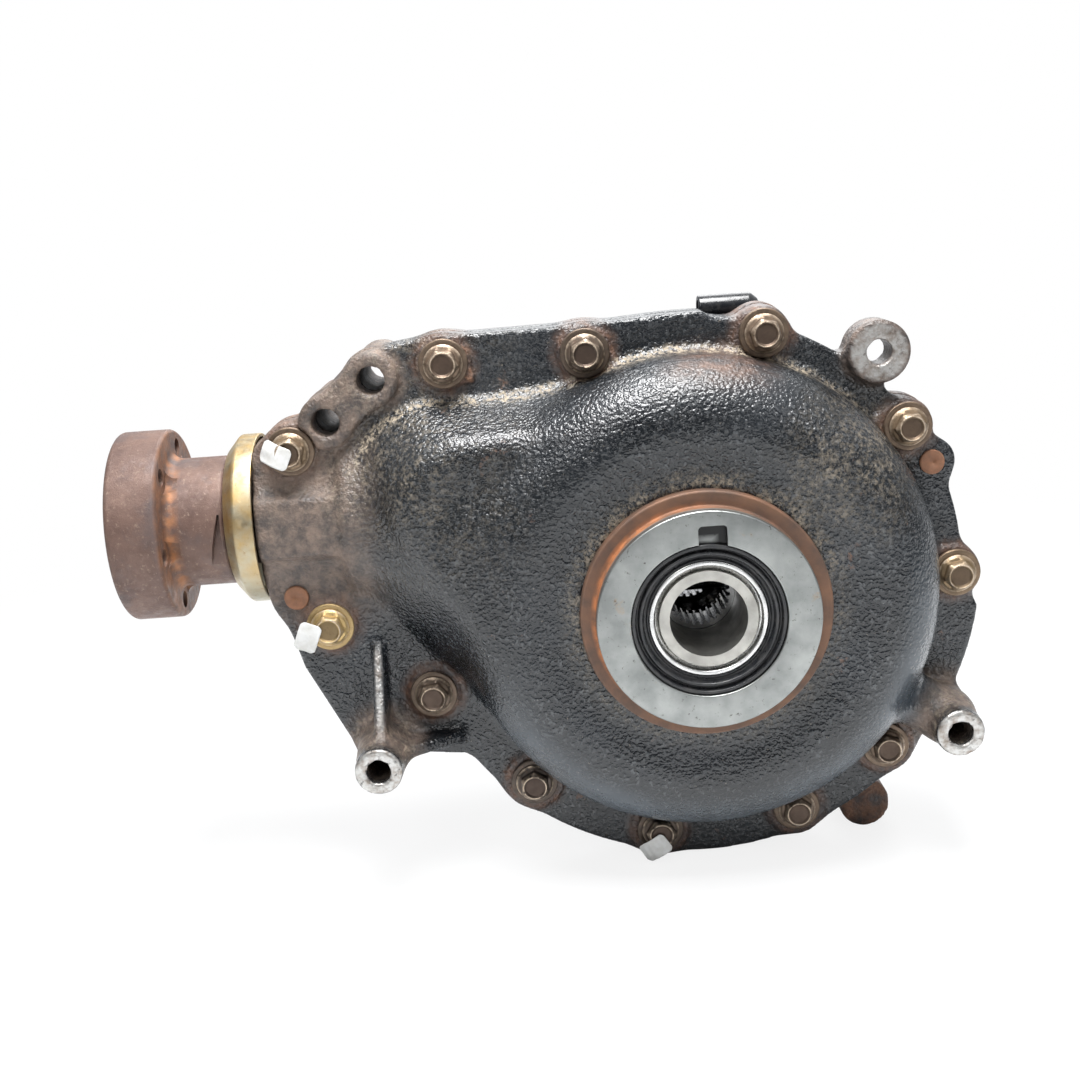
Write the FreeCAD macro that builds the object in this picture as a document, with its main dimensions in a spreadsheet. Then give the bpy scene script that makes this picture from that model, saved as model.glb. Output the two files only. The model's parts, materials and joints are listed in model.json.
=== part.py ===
import FreeCAD, Part
import math
import os
import Sketcher
from FreeCAD import Placement, Rotation, Vector

# Front differential of a four-wheel-drive car, in millimetres.
# The origin is the centre of the machined pilot face of the front cover, on the axle's axis.
# +Y goes into the unit along the axle, -X points along the pinion shaft to its flange, +Z is up.

doc = FreeCAD.newDocument("front_differential")
sheet = doc.addObject("Spreadsheet::Sheet", "dims")


class Size:
    """A length, angle or count, kept both as a number and as a formula on the sheet."""

    def __init__(self, number, text=None):
        self.number = number
        self.text = repr(float(number)) if text is None else text

    def __add__(self, other):
        other = as_size(other)
        return Size(self.number + other.number, "(%s + %s)" % (self.text, other.text))

    def __sub__(self, other):
        other = as_size(other)
        return Size(self.number - other.number, "(%s - %s)" % (self.text, other.text))

    def __mul__(self, other):
        other = as_size(other)
        return Size(self.number * other.number, "(%s * %s)" % (self.text, other.text))

    def __truediv__(self, other):
        other = as_size(other)
        return Size(self.number / other.number, "(%s / %s)" % (self.text, other.text))

    def __neg__(self):
        return Size(-self.number, "(-1 * %s)" % self.text)

    __radd__ = __add__
    __rmul__ = __mul__

    def __rsub__(self, other):
        return as_size(other) - self


def as_size(value):
    return value if isinstance(value, Size) else Size(value)


def cosine(angle):
    angle = as_size(angle)
    return Size(math.cos(math.radians(angle.number)), "cos(%s)" % angle.text)


def sine(angle):
    angle = as_size(angle)
    return Size(math.sin(math.radians(angle.number)), "sin(%s)" % angle.text)


def tangent(angle):
    return sine(angle) / cosine(angle)


def root_of(value):
    return Size(math.sqrt(value.number), "sqrt(%s)" % value.text)


class Sizes:
    """The driving dimensions, each a named cell of the sheet."""

    def __init__(self):
        self.rows = 0

    def group(self, title, **values):
        self.rows += 1
        sheet.set("A%d" % self.rows, title)
        for name, value in values.items():
            self.rows += 1
            sheet.set("A%d" % self.rows, name)
            sheet.set("B%d" % self.rows, str(value))
            sheet.setAlias("B%d" % self.rows, name)
            setattr(self, name, Size(value, "dims." + name))


dims = Sizes()
dims.group(
    "Front cover",
    pilot_rad=51, pilot_length=10, shoulder_rad=58,
    notch_left=3.7, notch_bottom=32, notch_width=13, notch_height=12, notch_depth=4,
    dome_crest_rad=84, dome_crest_depth=13, dome_tube_rad=31, dome_floor_depth=15.5, dome_wall=5.6,
    dome_foot=6, plate_front=56.5, joint_depth=68, pad_depth=54.5, pad_rad=13,
    rim_rad=131, lower_rim_rad=140.5, lower_rim_start=3, lower_rim_sweep=147, lower_lobe_rad=16,
    ramp_nose_out=148, ramp_nose_up=46, ramp_nose_rad=33,
    ramp_top_depth=20, ramp_top_rad=90, ramp_top_out=86, ramp_top_up=24, ramp_top_nose_rad=30,
    nose_pad_front=47, nose_pad_bottom=31.5, nose_pad_top=60, nose_pad_length=38, nose_pad_bevel=3,
    corner_pad_right=14.5, corner_pad_lean=6, corner_pad_down=10,
)
dims.group(
    "Bolts round the joint",
    bolt_circle_rad=127, bolt_angle_4=-132, bolt_angle_5=-100.5, bolt_angle_6=-68.7,
    bolt_angle_7=-43.8, bolt_angle_8=-0.3, bolt_angle_9=35.1, bolt_angle_10=73.1,
    bolt_angle_11=111.7,
    bolt_1_out=188.8, bolt_1_up=81.4, bolt_2_out=178.8, bolt_2_up=-6,
    bolt_3_out=131.4, bolt_3_up=-44.3, bolt_12_out=113.2, bolt_12_up=117.7,
    bolt_rad=4, bolt_hole_slack=0.5, bolt_grip_length=27, head_across_flats=13, head_height=7.5,
    head_flange_rad=8.6, head_flange_height=1.6, head_dish_rad=4, head_dish_depth=0.9,
    washer_rad=11.7, washer_thickness=2, spot_face_slack=0.5,
    dowel_rad=5.2, dowel_length=20, dowel_left_out=194, dowel_left_up=9,
    dowel_right_out=116, dowel_right_up=54.3,
)
dims.group(
    "Mounting points",
    ear_hole_rad=6.75, ear_rad=13, ear_front=51, ear_length=70,
    ear_a_out=147.6, ear_a_up=112.4, ear_b_out=170.5, ear_b_up=94.2,
    ear_c_out=90.1, ear_c_up=109.3, ear_c_front=50, ear_c_rad=15,
    thread_rad=5.9, post_rad=11.5, post_foot_rad=12.8, post_front=18, post_hole_depth=32,
    post_left_out=157.8, post_left_down=69.1, post_right_out=119, post_right_down=69.9,
    web_thickness=7, left_web_height=52, left_web_reach=42, right_web_reach=44,
    lower_lug_out=85.6, lower_lug_down=128.1, lower_lug_rad=13,
    lower_lug_front=74, lower_lug_length=30,
)
dims.group(
    "Housing behind the joint",
    housing_plate=12, lobe_rise=3, bowl_straight=18, bowl_mid_rad=98, bowl_mid_depth=112, bowl_back_rad=72,
    bowl_back_depth=130, bowl_end_depth=138,
    housing_wall=7, rear_boss_rad=47, axle_length=176, rear_rib_thickness=8, rear_ribs=5,
    rear_rib_turn=-126, rear_rib_inner=60, rear_rib_outer=124, rear_rib_rise=14,
    plug_rad=9, plug_head_rad=12, plug_head_height=4,
    plug_length=14, plug_key_rad=5, plug_boss_height=5, fill_plug_out=52, fill_plug_up=-50,
    drain_plug_out=0, drain_plug_up=-84,
    breather_out=20, breather_depth=91, breather_collar_rad=8, breather_tube_rad=6.5,
    breather_bore_rad=4, breather_height=131.8, breather_tube_length=30, breather_stem_rad=5,
    breather_stem_length=30, breather_boss_rad=10, breather_boss_length=30, breather_seat_drop=12,
    breather_collar_height=3,
)
dims.group(
    "Pinion line",
    pinion_depth=86, pinion_offset=44, nose_length=208, nose_rad=39, nose_step=167,
    neck_rad=46, neck_step=112, hip_rad=51, hip_start=37, cover_hip_start=95, barrel_bevel=6,
    pinion_room_rad=45, pinion_room_start=43, head_bore_start=95,
    shoulder_bore_rad=28, head_seat=94, shaft_mid_rad=15,
    hub_end=189, journal_rad=21, deflector_seat_rad=23, deflector_start=208.8,
    deflector_rad=42.2, deflector_wall=1.8, deflector_bevel=5, hub_rad=32, hub_start=224, disc_start=253,
    disc_end=278, disc_rad=47, disc_hole_rad=4.25, disc_hole_circle_rad=38.5, disc_hole_angle=13,
    scallop_rad=8, scallop_depth=3, disc_recess_rad=20, recess_floor=246,
    register_rad=24, register_depth=3, wedge_slot_width=7, wedge_slot_depth=4,
    spline_rad=13, spline_clearance=0.1, spline_end=240, stud_rad=11, stud_end=262,
    nut_across_flats=32, nut_length=14, nut_washer_rad=17.5, nut_washer_thickness=3,
    sleeve_rad=19.5, sleeve_waist=1.5, sleeve_slack=0.3, shim_thickness=1,
    pinion_seal_start=196, pinion_seal_width=11, pinion_seal_rad=31.5,
)
dims.group(
    "Tapered roller bearings",
    head_bore_rad=17.5, head_outer_rad=36, head_width=24.25, head_rollers=17,
    tail_bore_rad=15, tail_outer_rad=31, tail_width=21.25, tail_rollers=16,
    axle_bore_rad=22.5, axle_outer_rad=37.5, axle_width=20, axle_rollers=22,
    roller_tilt=12, roller_share=0.215, inner_share=0.95, outer_share=0.78,
    roller_gap=0.03, roller_end_gap=0.15, inner_rib=3, cage_wall=1.2, cage_gap=0.2,
)
dims.group(
    "Differential case",
    spider_depth=80, case_rad=46.5, case_cavity_rad=39.7, case_flange_front=26.5,
    case_flange_thickness=8, case_flange_rad=84, case_neck_rad=49, case_front_wall=36,
    case_pilot_rad=56, case_pilot_length=12, front_seat=34, rear_seat=138, bearing_step_rad=28,
    case_back=112, case_back_rad=40, output_bore_rad=17.8, case_end_recess=4,
    side_wall=27.2, window_rad=25, case_boss_end=33, case_boss_rad=45, spider_rad=7.5,
    spider_slack=0.05,
    lock_pin_rad=2, lock_pin_length=52, washer_gap=0.05, side_washer_thickness=1,
    side_washer_rad=28, sleeve_ring_rad=27.2, sleeve_ring_length=9,
    seal_depth=3, seal_width=10, seal_rad=35.5, seal_wall=1.6, seal_lip_gap=0.1,
    seal_spring_rad=1.1, journal_slack=0.05,
)
dims.group(
    "Ring gear and pinion teeth",
    ring_teeth=41, pinion_teeth=11, ring_rad=99.5, ring_inner_rad=64,
    ring_bolt_circle_rad=71, ring_bolts=10, ring_bolt_rad=5, ring_bolt_length=20,
    ring_bolt_head_rad=8, ring_bolt_head_height=4.6,
    pinion_start=48, pinion_end=90, pinion_mid=68.4, pinion_mid_rad=31, pinion_taper=0.3,
    pinion_addendum=5, pinion_dedendum=3.2, tooth_growth=0.0065, tooth_share=0.53,
    pressure_angle=29, root_clearance=0.8, flank_clearance=0.14, pinion_back_rad=24,
)
dims.group(
    "Side gears and planets",
    bevel_module=3.75, side_teeth=16, planet_teeth=10, bevel_face=11, bevel_addendum=0.8,
    bevel_dedendum=1.1, bevel_pressure_angle=25, bevel_backlash=0.45, side_back=26,
    side_hub_rad=20.5, side_hub_end=34, spline_major_rad=15.6, spline_minor_rad=14.1,
    spline_teeth=27, planet_back_rad=38.5, planet_washer_thickness=1, planet_washer_rad=17,
)
doc.recompute()

# Directions: a turned piece is drawn along its own X and laid on one of two lines.
ALONG_AXLE = Rotation(Vector(0, 0, 1), 90)
ALONG_PINION = Rotation(Vector(0, 0, 1), 180)
INTO_UNIT = Rotation(Vector(1, 0, 0), -90)
TO_FLANGE = Rotation(Vector(0, 1, 0), -90)
TO_RIGHT = Rotation(Vector(0, 1, 0), 90)
UPRIGHT = Rotation()
FRONT_VIEW = Rotation(Vector(1, 0, 0), 90)
SIDE_VIEW = Rotation(Vector(1, 1, 1), 120)

pinion_line = (0, dims.pinion_depth, dims.pinion_offset)
nodes = []


def bind(thing, name, value):
    value = as_size(value)
    if "dims." in value.text:
        thing.setExpression(name, value.text)
    else:
        owner, _, last = name.rpartition(".")
        if not owner:
            setattr(thing, last, value.number)
        elif value.number:
            thing.setExpression(name, value.text)


def place(thing, x=0, y=0, z=0, rotation=UPRIGHT):
    thing.Placement = Placement(Vector(0, 0, 0), rotation)
    bind(thing, "Placement.Base.x", x)
    bind(thing, "Placement.Base.y", y)
    bind(thing, "Placement.Base.z", z)
    return thing


def node(thing, label):
    thing.Label = label
    nodes.append(thing)
    return thing


def new(kind, name, **values):
    thing = doc.addObject(kind, name)
    for key, value in values.items():
        bind(thing, key, value)
    return thing


def rod(name, radius, length, x, y, z, rotation=INTO_UNIT):
    return place(new("Part::Cylinder", name, Radius=radius, Height=length), x, y, z, rotation)


def block(name, length, width, height, x, y, z, rotation=UPRIGHT):
    thing = new("Part::Box", name, Length=length, Width=width, Height=height)
    return place(thing, x, y, z, rotation)


def fuse(name, parts):
    thing = doc.addObject("Part::MultiFuse", name)
    thing.Shapes = parts
    return thing


def cut(name, base, tool):
    thing = doc.addObject("Part::Cut", name)
    thing.Base = base
    thing.Tool = tool if not isinstance(tool, list) else fuse(name + "_tools", tool)
    return thing


def common(name, base, tool):
    thing = doc.addObject("Part::Common", name)
    thing.Base = base
    thing.Tool = tool
    return thing


def group(name, parts):
    thing = doc.addObject("Part::Compound", name)
    thing.Links = parts
    return thing


def bound_polygon(sketch, points, first=0):
    """Draw a closed polygon whose corners are held by formulas."""
    count = len(points)
    start = []
    for index in range(count):
        turn = 2 * math.pi * index / count
        start.append((60 * math.cos(turn + 0.3), 60 * math.sin(turn + 0.3)))
    for index, (along, across) in enumerate(start):
        further = start[(index + 1) % count]
        line = Part.LineSegment(Vector(along, across, 0), Vector(further[0], further[1], 0))
        sketch.addGeometry(line, False)
    for index in range(count):
        ends = Sketcher.Constraint("Coincident", first + index, 2, first + (index + 1) % count, 1)
        sketch.addConstraint(ends)
    for index, corner in enumerate(points):
        for kind, value, guess in zip(("DistanceX", "DistanceY"), corner, start[index]):
            held = Sketcher.Constraint(kind, -1, 1, first + index, 1, guess)
            sketch.setExpression("Constraints[%d]" % sketch.addConstraint(held), as_size(value).text)


def sketch_of(name, points, rotation=UPRIGHT):
    sketch = doc.addObject("Sketcher::SketchObject", name)
    bound_polygon(sketch, points)
    sketch.Placement = Placement(Vector(0, 0, 0), rotation)
    return sketch


def slab(name, points, start, length, view, direction):
    """Extrude an outline, drawn in the given view, along a world direction."""
    sketch = sketch_of(name + "_outline", points, view)
    for letter, share in zip("xyz", direction):
        if share:
            bind(sketch, "Placement.Base." + letter, start)
    thing = doc.addObject("Part::Extrusion", name)
    thing.Base = sketch
    thing.Dir = Vector(*direction)
    thing.DirMode = "Custom"
    thing.Solid = True
    bind(thing, "LengthFwd", length)
    return thing


def origin_feature(body, role):
    return [thing for thing in body.Origin.OriginFeatures if thing.Role == role][0]


def body_sketch(body, name, points, axis_points=None):
    sketch = body.newObject("Sketcher::SketchObject", name)
    sketch.AttachmentSupport = [(origin_feature(body, "XY_Plane"), "")]
    sketch.MapMode = "FlatFace"
    bound_polygon(sketch, points)
    if axis_points:
        line = len(points)
        sketch.addGeometry(Part.LineSegment(Vector(0, 0, 0), Vector(5, 5, 0)), True)
        for end, corner in enumerate(axis_points, 1):
            sketch.addConstraint(Sketcher.Constraint("Coincident", line, end, corner, 1))
    return sketch


def turned(label, points, rotation=ALONG_AXLE, line=(0, 0, 0)):
    """A turned piece: corners given as (distance along the line, radius)."""
    body = doc.addObject("PartDesign::Body", label)
    sketch = body_sketch(body, label + "_profile", points)
    turn = body.newObject("PartDesign::Revolution", label + "_turn")
    turn.Profile = sketch
    turn.ReferenceAxis = (sketch, ["H_Axis"])
    turn.Angle = 360
    return place(body, *line, rotation)


def ring(label, start, end, inner, outer, rotation=ALONG_AXLE, line=(0, 0, 0)):
    corners = [(start, inner), (end, inner), (end, outer), (start, outer)]
    return turned(label, corners, rotation, line)


def turned_about_pinion(label, points):
    return turned(label, points, ALONG_PINION, pinion_line)


def feature(name, shape, x=0, y=0, z=0, rotation=UPRIGHT):
    thing = doc.addObject("Part::Feature", name)
    thing.Shape = shape
    return place(thing, x, y, z, rotation)


# Places of the twelve bolts round the joint, as (out along X, up along Z).
def on_bolt_circle(angle):
    return (dims.bolt_circle_rad * cosine(angle), dims.bolt_circle_rad * sine(angle))


bolt_1 = (-dims.bolt_1_out, dims.bolt_1_up)
bolt_2 = (-dims.bolt_2_out, dims.bolt_2_up)
bolt_3 = (-dims.bolt_3_out, dims.bolt_3_up)
bolt_12 = (-dims.bolt_12_out, dims.bolt_12_up)
circle_angles = [
    dims.bolt_angle_4, dims.bolt_angle_5, dims.bolt_angle_6, dims.bolt_angle_7,
    dims.bolt_angle_8, dims.bolt_angle_9, dims.bolt_angle_10, dims.bolt_angle_11,
]
bolt_places = [bolt_1, bolt_2, bolt_3] + [on_bolt_circle(turn) for turn in circle_angles] + [bolt_12]
lower_bolts = (4, 5, 6, 7)
dowel_places = [
    (-dims.dowel_left_out, dims.dowel_left_up), (dims.dowel_right_out, dims.dowel_right_up),
]
ear_a = (-dims.ear_a_out, dims.ear_a_up)
ear_b = (-dims.ear_b_out, dims.ear_b_up)
ear_c = (dims.ear_c_out, dims.ear_c_up)
post_left = (-dims.post_left_out, -dims.post_left_down)
post_right = (dims.post_right_out, -dims.post_right_down)
lower_lug = (dims.lower_lug_out, -dims.lower_lug_down)
joint_back = dims.joint_depth + dims.housing_plate
dowel_front = dims.plate_front - 0.3
dome_base_rad = dims.dome_crest_rad + dims.dome_tube_rad
dome_middle = dims.dome_crest_depth + dims.dome_tube_rad
plug_places = [
    ("fill_plug", dims.fill_plug_out, dims.fill_plug_up),
    ("drain_plug", dims.drain_plug_out, dims.drain_plug_up),
]
plug_seat = dims.bowl_back_depth + dims.plug_boss_height
breather_seat = dims.breather_height - dims.breather_seat_drop
front_shim_start = dims.front_seat - dims.axle_width - dims.shim_thickness
rear_shim_end = dims.rear_seat + dims.axle_width + dims.shim_thickness


def flange_plate(name, front, length, lobe_front, lobe_length):
    """The bolted flange that both castings share: rim, bolt lobes and the plate of the nose."""
    nose_plate = [
        (0, dims.rim_rad - 1),
        (bolt_12[0], bolt_12[1] + dims.pad_rad - 1),
        (ear_a[0], ear_a[1] + dims.ear_rad - 1),
        (ear_b[0] - dims.ear_rad, ear_b[1]),
        (-dims.nose_length, dims.pinion_offset + dims.nose_rad),
        (-dims.nose_length, dims.pinion_offset - dims.nose_rad * 0.6),
        (bolt_2[0] - dims.pad_rad, bolt_2[1] - dims.pad_rad * 0.5),
        (post_left[0] - dims.post_rad, post_left[1]),
        (post_left[0] + dims.post_rad, post_left[1] - dims.post_rad * 0.8),
        (bolt_3[0] + dims.pad_rad, post_left[1] - dims.web_thickness),
        (0, -dims.rim_rad * 0.5),
    ]
    lower_rim = rod(name + "_lower_rim", dims.lower_rim_rad, length, 0, front, 0)
    bind(lower_rim, "Angle", dims.lower_rim_sweep)
    start_turn = Rotation(Vector(0, 0, 1), dims.lower_rim_start.number)
    lower_rim.Placement.Rotation = INTO_UNIT.multiply(start_turn)
    parts = [
        rod(name + "_rim", dims.rim_rad, length, 0, front, 0),
        slab(name + "_nose_plate", nose_plate, front, length, FRONT_VIEW, (0, 1, 0)),
    ]
    for index, (out, up) in enumerate(bolt_places, 1):
        rad = dims.lower_lobe_rad if index in lower_bolts else dims.pad_rad
        parts.append(rod("%s_lobe_%d" % (name, index), rad, lobe_length, out, lobe_front, up))
    for index, (out, up) in enumerate(dowel_places, 1):
        rad = dims.dowel_rad + dims.housing_wall
        parts.append(rod("%s_dowel_lobe_%d" % (name, index), rad, length, out, front, up))
    return parts + [lower_rim]


def tangent_teardrop(big_rad, nose_out, nose_up, nose_rad, depth):
    """A circle on the axle and a nose circle, joined by their outer tangents, at one depth."""
    reach = math.hypot(nose_out, nose_up)
    heading = math.atan2(nose_up, -nose_out)
    lean = math.acos((big_rad - nose_rad) / reach)

    def spot(centre, rad, turn):
        return Vector(centre[0] + rad * math.cos(turn), depth, centre[1] + rad * math.sin(turn))

    big = (0, 0)
    nose = (-nose_out, nose_up)
    upper, lower = heading - lean, heading + lean
    big_arc = [spot(big, big_rad, turn) for turn in (lower, heading + math.pi, upper)]
    nose_arc = [spot(nose, nose_rad, turn) for turn in (upper, heading, lower)]
    return Part.Wire([
        Part.Arc(*big_arc).toShape(),
        Part.LineSegment(big_arc[2], nose_arc[0]).toShape(),
        Part.Arc(*nose_arc).toShape(),
        Part.LineSegment(nose_arc[2], big_arc[0]).toShape(),
    ])


def make_ramp():
    """The ramp that runs from the dome down to the pinion's nose."""
    top = tangent_teardrop(
        dims.ramp_top_rad.number, dims.ramp_top_out.number, dims.ramp_top_up.number,
        dims.ramp_top_nose_rad.number, dims.ramp_top_depth.number,
    )
    base = tangent_teardrop(
        dome_base_rad.number, dims.ramp_nose_out.number, dims.ramp_nose_up.number,
        dims.ramp_nose_rad.number, dims.plate_front.number + 2,
    )
    return Part.makeLoft([top, base], True, True)


barrel_outline = [
    (dims.neck_step, dims.hip_rad), (dims.neck_step + dims.barrel_bevel, dims.neck_rad),
    (dims.nose_step - dims.barrel_bevel, dims.neck_rad), (dims.nose_step, dims.nose_rad),
    (dims.nose_length, dims.nose_rad), (dims.nose_length, 0),
]
head_shoulder = dims.head_seat + dims.head_width + dims.shim_thickness
tail_shoulder = dims.hub_end - dims.tail_width


def pinion_bores(name):
    """Room for the pinion's head, the two bearing bores and the seal's bore, in one turning."""
    start = dims.pinion_room_start
    return turned_about_pinion(name, [
        (start, 0), (start, dims.pinion_room_rad), (dims.head_bore_start, dims.pinion_room_rad),
        (dims.head_bore_start, dims.head_outer_rad), (head_shoulder, dims.head_outer_rad),
        (head_shoulder, dims.shoulder_bore_rad), (tail_shoulder, dims.shoulder_bore_rad),
        (tail_shoulder, dims.tail_outer_rad), (dims.pinion_seal_start, dims.tail_outer_rad),
        (dims.pinion_seal_start, dims.pinion_seal_rad), (dims.nose_length + 1, dims.pinion_seal_rad),
        (dims.nose_length + 1, 0),
    ])


def half_space(name, front, back):
    """A slab of space between two depths, wider and taller than the unit."""
    wide = dims.nose_length * 4
    return block(name, wide, back - front, wide, -wide / 2, front, -wide / 2)


def joint_holes(name, bolt_hole_rad, start, length):
    holes = []
    for index, (out, up) in enumerate(bolt_places, 1):
        holes.append(rod("%s_hole_%d" % (name, index), bolt_hole_rad, length, out, start, up))
    for index, (out, up) in enumerate(dowel_places, 1):
        hole = "%s_dowel_%d" % (name, index)
        holes.append(rod(hole, dims.dowel_rad, dims.dowel_length, out, dowel_front, up))
    for index, (out, up) in enumerate((ear_a, ear_b), 1):
        hole = "%s_ear_%d" % (name, index)
        holes.append(rod(hole, dims.ear_hole_rad, dims.ear_length + 2, out, dims.ear_front - 1, up))
    return holes


def web(name, points, thickness, rotation, x=0, y=0, z=0):
    """A rib or gusset: an outline drawn in a plane and thickened to both sides of it."""
    thing = doc.addObject("Part::Extrusion", name)
    thing.Base = place(sketch_of(name + "_outline", points), x, y, z, rotation)
    thing.DirMode = "Normal"
    thing.Solid = True
    thing.Symmetric = True
    bind(thing, "LengthFwd", thickness)
    return thing


def threaded_post(name, spot, web_points, web_rotation, web_spot):
    """A slightly tapered post with a web that runs from it into the cover."""
    post = new("Part::Cone", name, Radius1=dims.post_rad, Radius2=dims.post_foot_rad,
               Height=dims.joint_depth - dims.post_front)
    place(post, spot[0], dims.post_front, spot[1], INTO_UNIT)
    return [post, web(name + "_web", web_points, dims.web_thickness, web_rotation, *web_spot)]


def bolt_pads():
    """Raised pads that run from the dome out to each bolt, and the square one of the top corner."""
    pads = []
    height = dims.joint_depth - dims.pad_depth
    start = dome_base_rad - 1
    for index, turn in enumerate(circle_angles, 4):
        pads.append(block(
            "pad_strip_%d" % index, dims.bolt_circle_rad - start, height, dims.pad_rad * 2,
            start * cosine(turn) + dims.pad_rad * sine(turn), dims.pad_depth,
            start * sine(turn) - dims.pad_rad * cosine(turn),
            Rotation(Vector(0, 1, 0), -turn.number)))
    out, up = bolt_12
    right = out + dims.corner_pad_right
    pads.append(slab("corner_pad", [
        (out, up - dims.corner_pad_down), (right, up - dims.corner_pad_down),
        (right - dims.corner_pad_lean, up + dims.pad_rad - 1), (out, up + dims.pad_rad - 1),
    ], dims.pad_depth, height, FRONT_VIEW, (0, 1, 0)))
    return pads


def nose_pad():
    """The flat raised block on the front of the pinion's nose."""
    low, high, front = dims.nose_pad_bottom, dims.nose_pad_top, dims.nose_pad_front
    bevel = dims.nose_pad_bevel
    return slab("nose_pad", [
        (dims.joint_depth, low), (front + bevel, low), (front, low + bevel), (front, high - bevel),
        (front + bevel, high), (dims.joint_depth, high),
    ], -dims.nose_length, dims.nose_pad_length, SIDE_VIEW, (1, 0, 0))


def make_cover():
    plate_length = dims.joint_depth - dims.plate_front
    lobe_length = dims.joint_depth - dims.pad_depth
    parts = flange_plate("cover", dims.plate_front, plate_length, dims.pad_depth, lobe_length)
    torus = new("Part::Torus", "dome_torus", Radius1=dims.dome_crest_rad, Radius2=dims.dome_tube_rad)
    front_half = half_space("front_half", 0, dims.joint_depth)
    parts.append(common("dome_crown", place(torus, 0, dome_middle, 0, INTO_UNIT), front_half))
    core_length = dims.joint_depth - dims.dome_floor_depth
    parts.append(rod("dome_core", dims.dome_crest_rad, core_length, 0, dims.dome_floor_depth, 0))
    skirt_length = dims.joint_depth - dome_middle
    parts.append(rod("dome_skirt", dome_base_rad, skirt_length, 0, dome_middle, 0))
    foot = dims.plate_front - dims.dome_foot
    parts.append(turned("dome_foot", [
        (foot, 0), (foot, dome_base_rad), (dims.plate_front, dome_base_rad + dims.dome_foot),
        (dims.plate_front + 1, dome_base_rad + dims.dome_foot), (dims.plate_front + 1, 0),
    ]))
    parts += bolt_pads()
    parts.append(nose_pad())
    parts.append(turned("pilot_boss", [
        (0, 0), (dims.dome_floor_depth + 4, 0), (dims.dome_floor_depth + 4, dims.shoulder_rad),
        (dims.pilot_length, dims.shoulder_rad), (dims.pilot_length, dims.pilot_rad), (0, dims.pilot_rad),
    ]))
    parts.append(feature("ramp", make_ramp()))
    barrel = turned_about_pinion("cover_barrel", [
        (dims.cover_hip_start, 0), (dims.cover_hip_start, dims.hip_rad)] + barrel_outline)
    parts.append(common("cover_barrel_half", barrel, front_half))
    for index, (out, up) in enumerate((ear_a, ear_b), 1):
        ear_height = dims.joint_depth - dims.ear_front
        parts.append(rod("cover_ear_%d" % index, dims.ear_rad, ear_height, out, dims.ear_front, up))
    parts.append(rod("cover_ear_c", dims.ear_c_rad, dims.joint_depth - dims.ear_c_front,
                     ear_c[0], dims.ear_c_front, ear_c[1]))
    bolt_9, bolt_10 = on_bolt_circle(dims.bolt_angle_9), on_bolt_circle(dims.bolt_angle_10)
    parts.append(slab("ear_c_plate", [
        (bolt_10[0] + dims.pad_rad, bolt_10[1] - dims.pad_rad * 0.3),
        (ear_c[0] - dims.ear_c_rad, ear_c[1]), (ear_c[0] + dims.ear_c_rad, ear_c[1]),
        (bolt_9[0] + dims.pad_rad, bolt_9[1]), (bolt_9[0], bolt_9[1] - dims.pad_rad),
    ], dims.plate_front, plate_length, FRONT_VIEW, (0, 1, 0)))
    root = dims.plate_front + 1
    top = dims.post_front + dims.post_rad * 0.6
    rib_points = [
        (root, post_left[1] + dims.left_web_height), (top, post_left[1] + dims.post_rad * 0.5),
        (root, post_left[1]),
    ]
    parts += threaded_post("post_left", post_left, rib_points, SIDE_VIEW, (post_left[0], 0, 0))
    side_points = [
        (post_left[0], root), (post_left[0], top + dims.web_thickness),
        (post_left[0] + dims.left_web_reach, root),
    ]
    parts.append(web("post_left_side_web", side_points, dims.web_thickness, UPRIGHT, 0, 0, post_left[1]))
    reach = post_right[0] - dims.right_web_reach
    arm_points = [
        (post_right[0], root), (reach, root), (reach, dims.plate_front * 0.6), (post_right[0], top),
    ]
    parts += threaded_post("post_right", post_right, arm_points, UPRIGHT, (0, 0, post_right[1] + 3))
    solid = fuse("cover_solid", parts)

    inner_tube = dims.dome_tube_rad - dims.dome_wall
    room_end = dims.joint_depth + 1
    floor = dims.dome_floor_depth + dims.dome_wall
    torus = new("Part::Torus", "room_torus", Radius1=dims.dome_crest_rad, Radius2=inner_tube)
    room = fuse("cover_room_full", [
        place(torus, 0, dome_middle, 0, INTO_UNIT),
        rod("room_core", dims.dome_crest_rad, room_end - floor, 0, floor, 0),
        rod("room_skirt", dome_base_rad - dims.dome_wall, room_end - dome_middle, 0, dome_middle, 0),
    ])
    boss = rod("bearing_boss", dims.case_boss_rad, dims.case_boss_end, 0, 0, 0)
    tools = joint_holes("cover", dims.bolt_rad + dims.bolt_hole_slack, dims.pad_depth - 1, 20)
    for index, (out, up) in enumerate(bolt_places, 1):
        facing = dims.plate_front - dims.post_front
        tools.append(rod("spot_face_%d" % index, dims.washer_rad + dims.spot_face_slack, facing, out,
                         dims.pad_depth - facing, up))
    tools += [
        cut("cover_room", room, boss),
        rod("front_seal_bore", dims.seal_rad, dims.case_boss_end, 0, -1, 0),
        rod("front_bearing_bore", dims.axle_outer_rad, dims.case_boss_end, 0, front_shim_start, 0),
        pinion_bores("cover_pinion_bores"),
        block("pilot_notch", dims.notch_width, dims.notch_depth + 1, dims.notch_height,
              -dims.notch_left, -1, dims.notch_bottom),
        rod("ear_c_hole", dims.thread_rad, dims.joint_depth, ear_c[0], dims.ear_c_front - 1, ear_c[1]),
        rod("post_left_hole", dims.thread_rad, dims.post_hole_depth, post_left[0], dims.post_front - 1,
            post_left[1]),
        rod("post_right_hole", dims.thread_rad, dims.post_hole_depth, post_right[0], dims.post_front - 1,
            post_right[1]),
    ]
    node(cut("cover", solid, tools), "cover")


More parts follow.
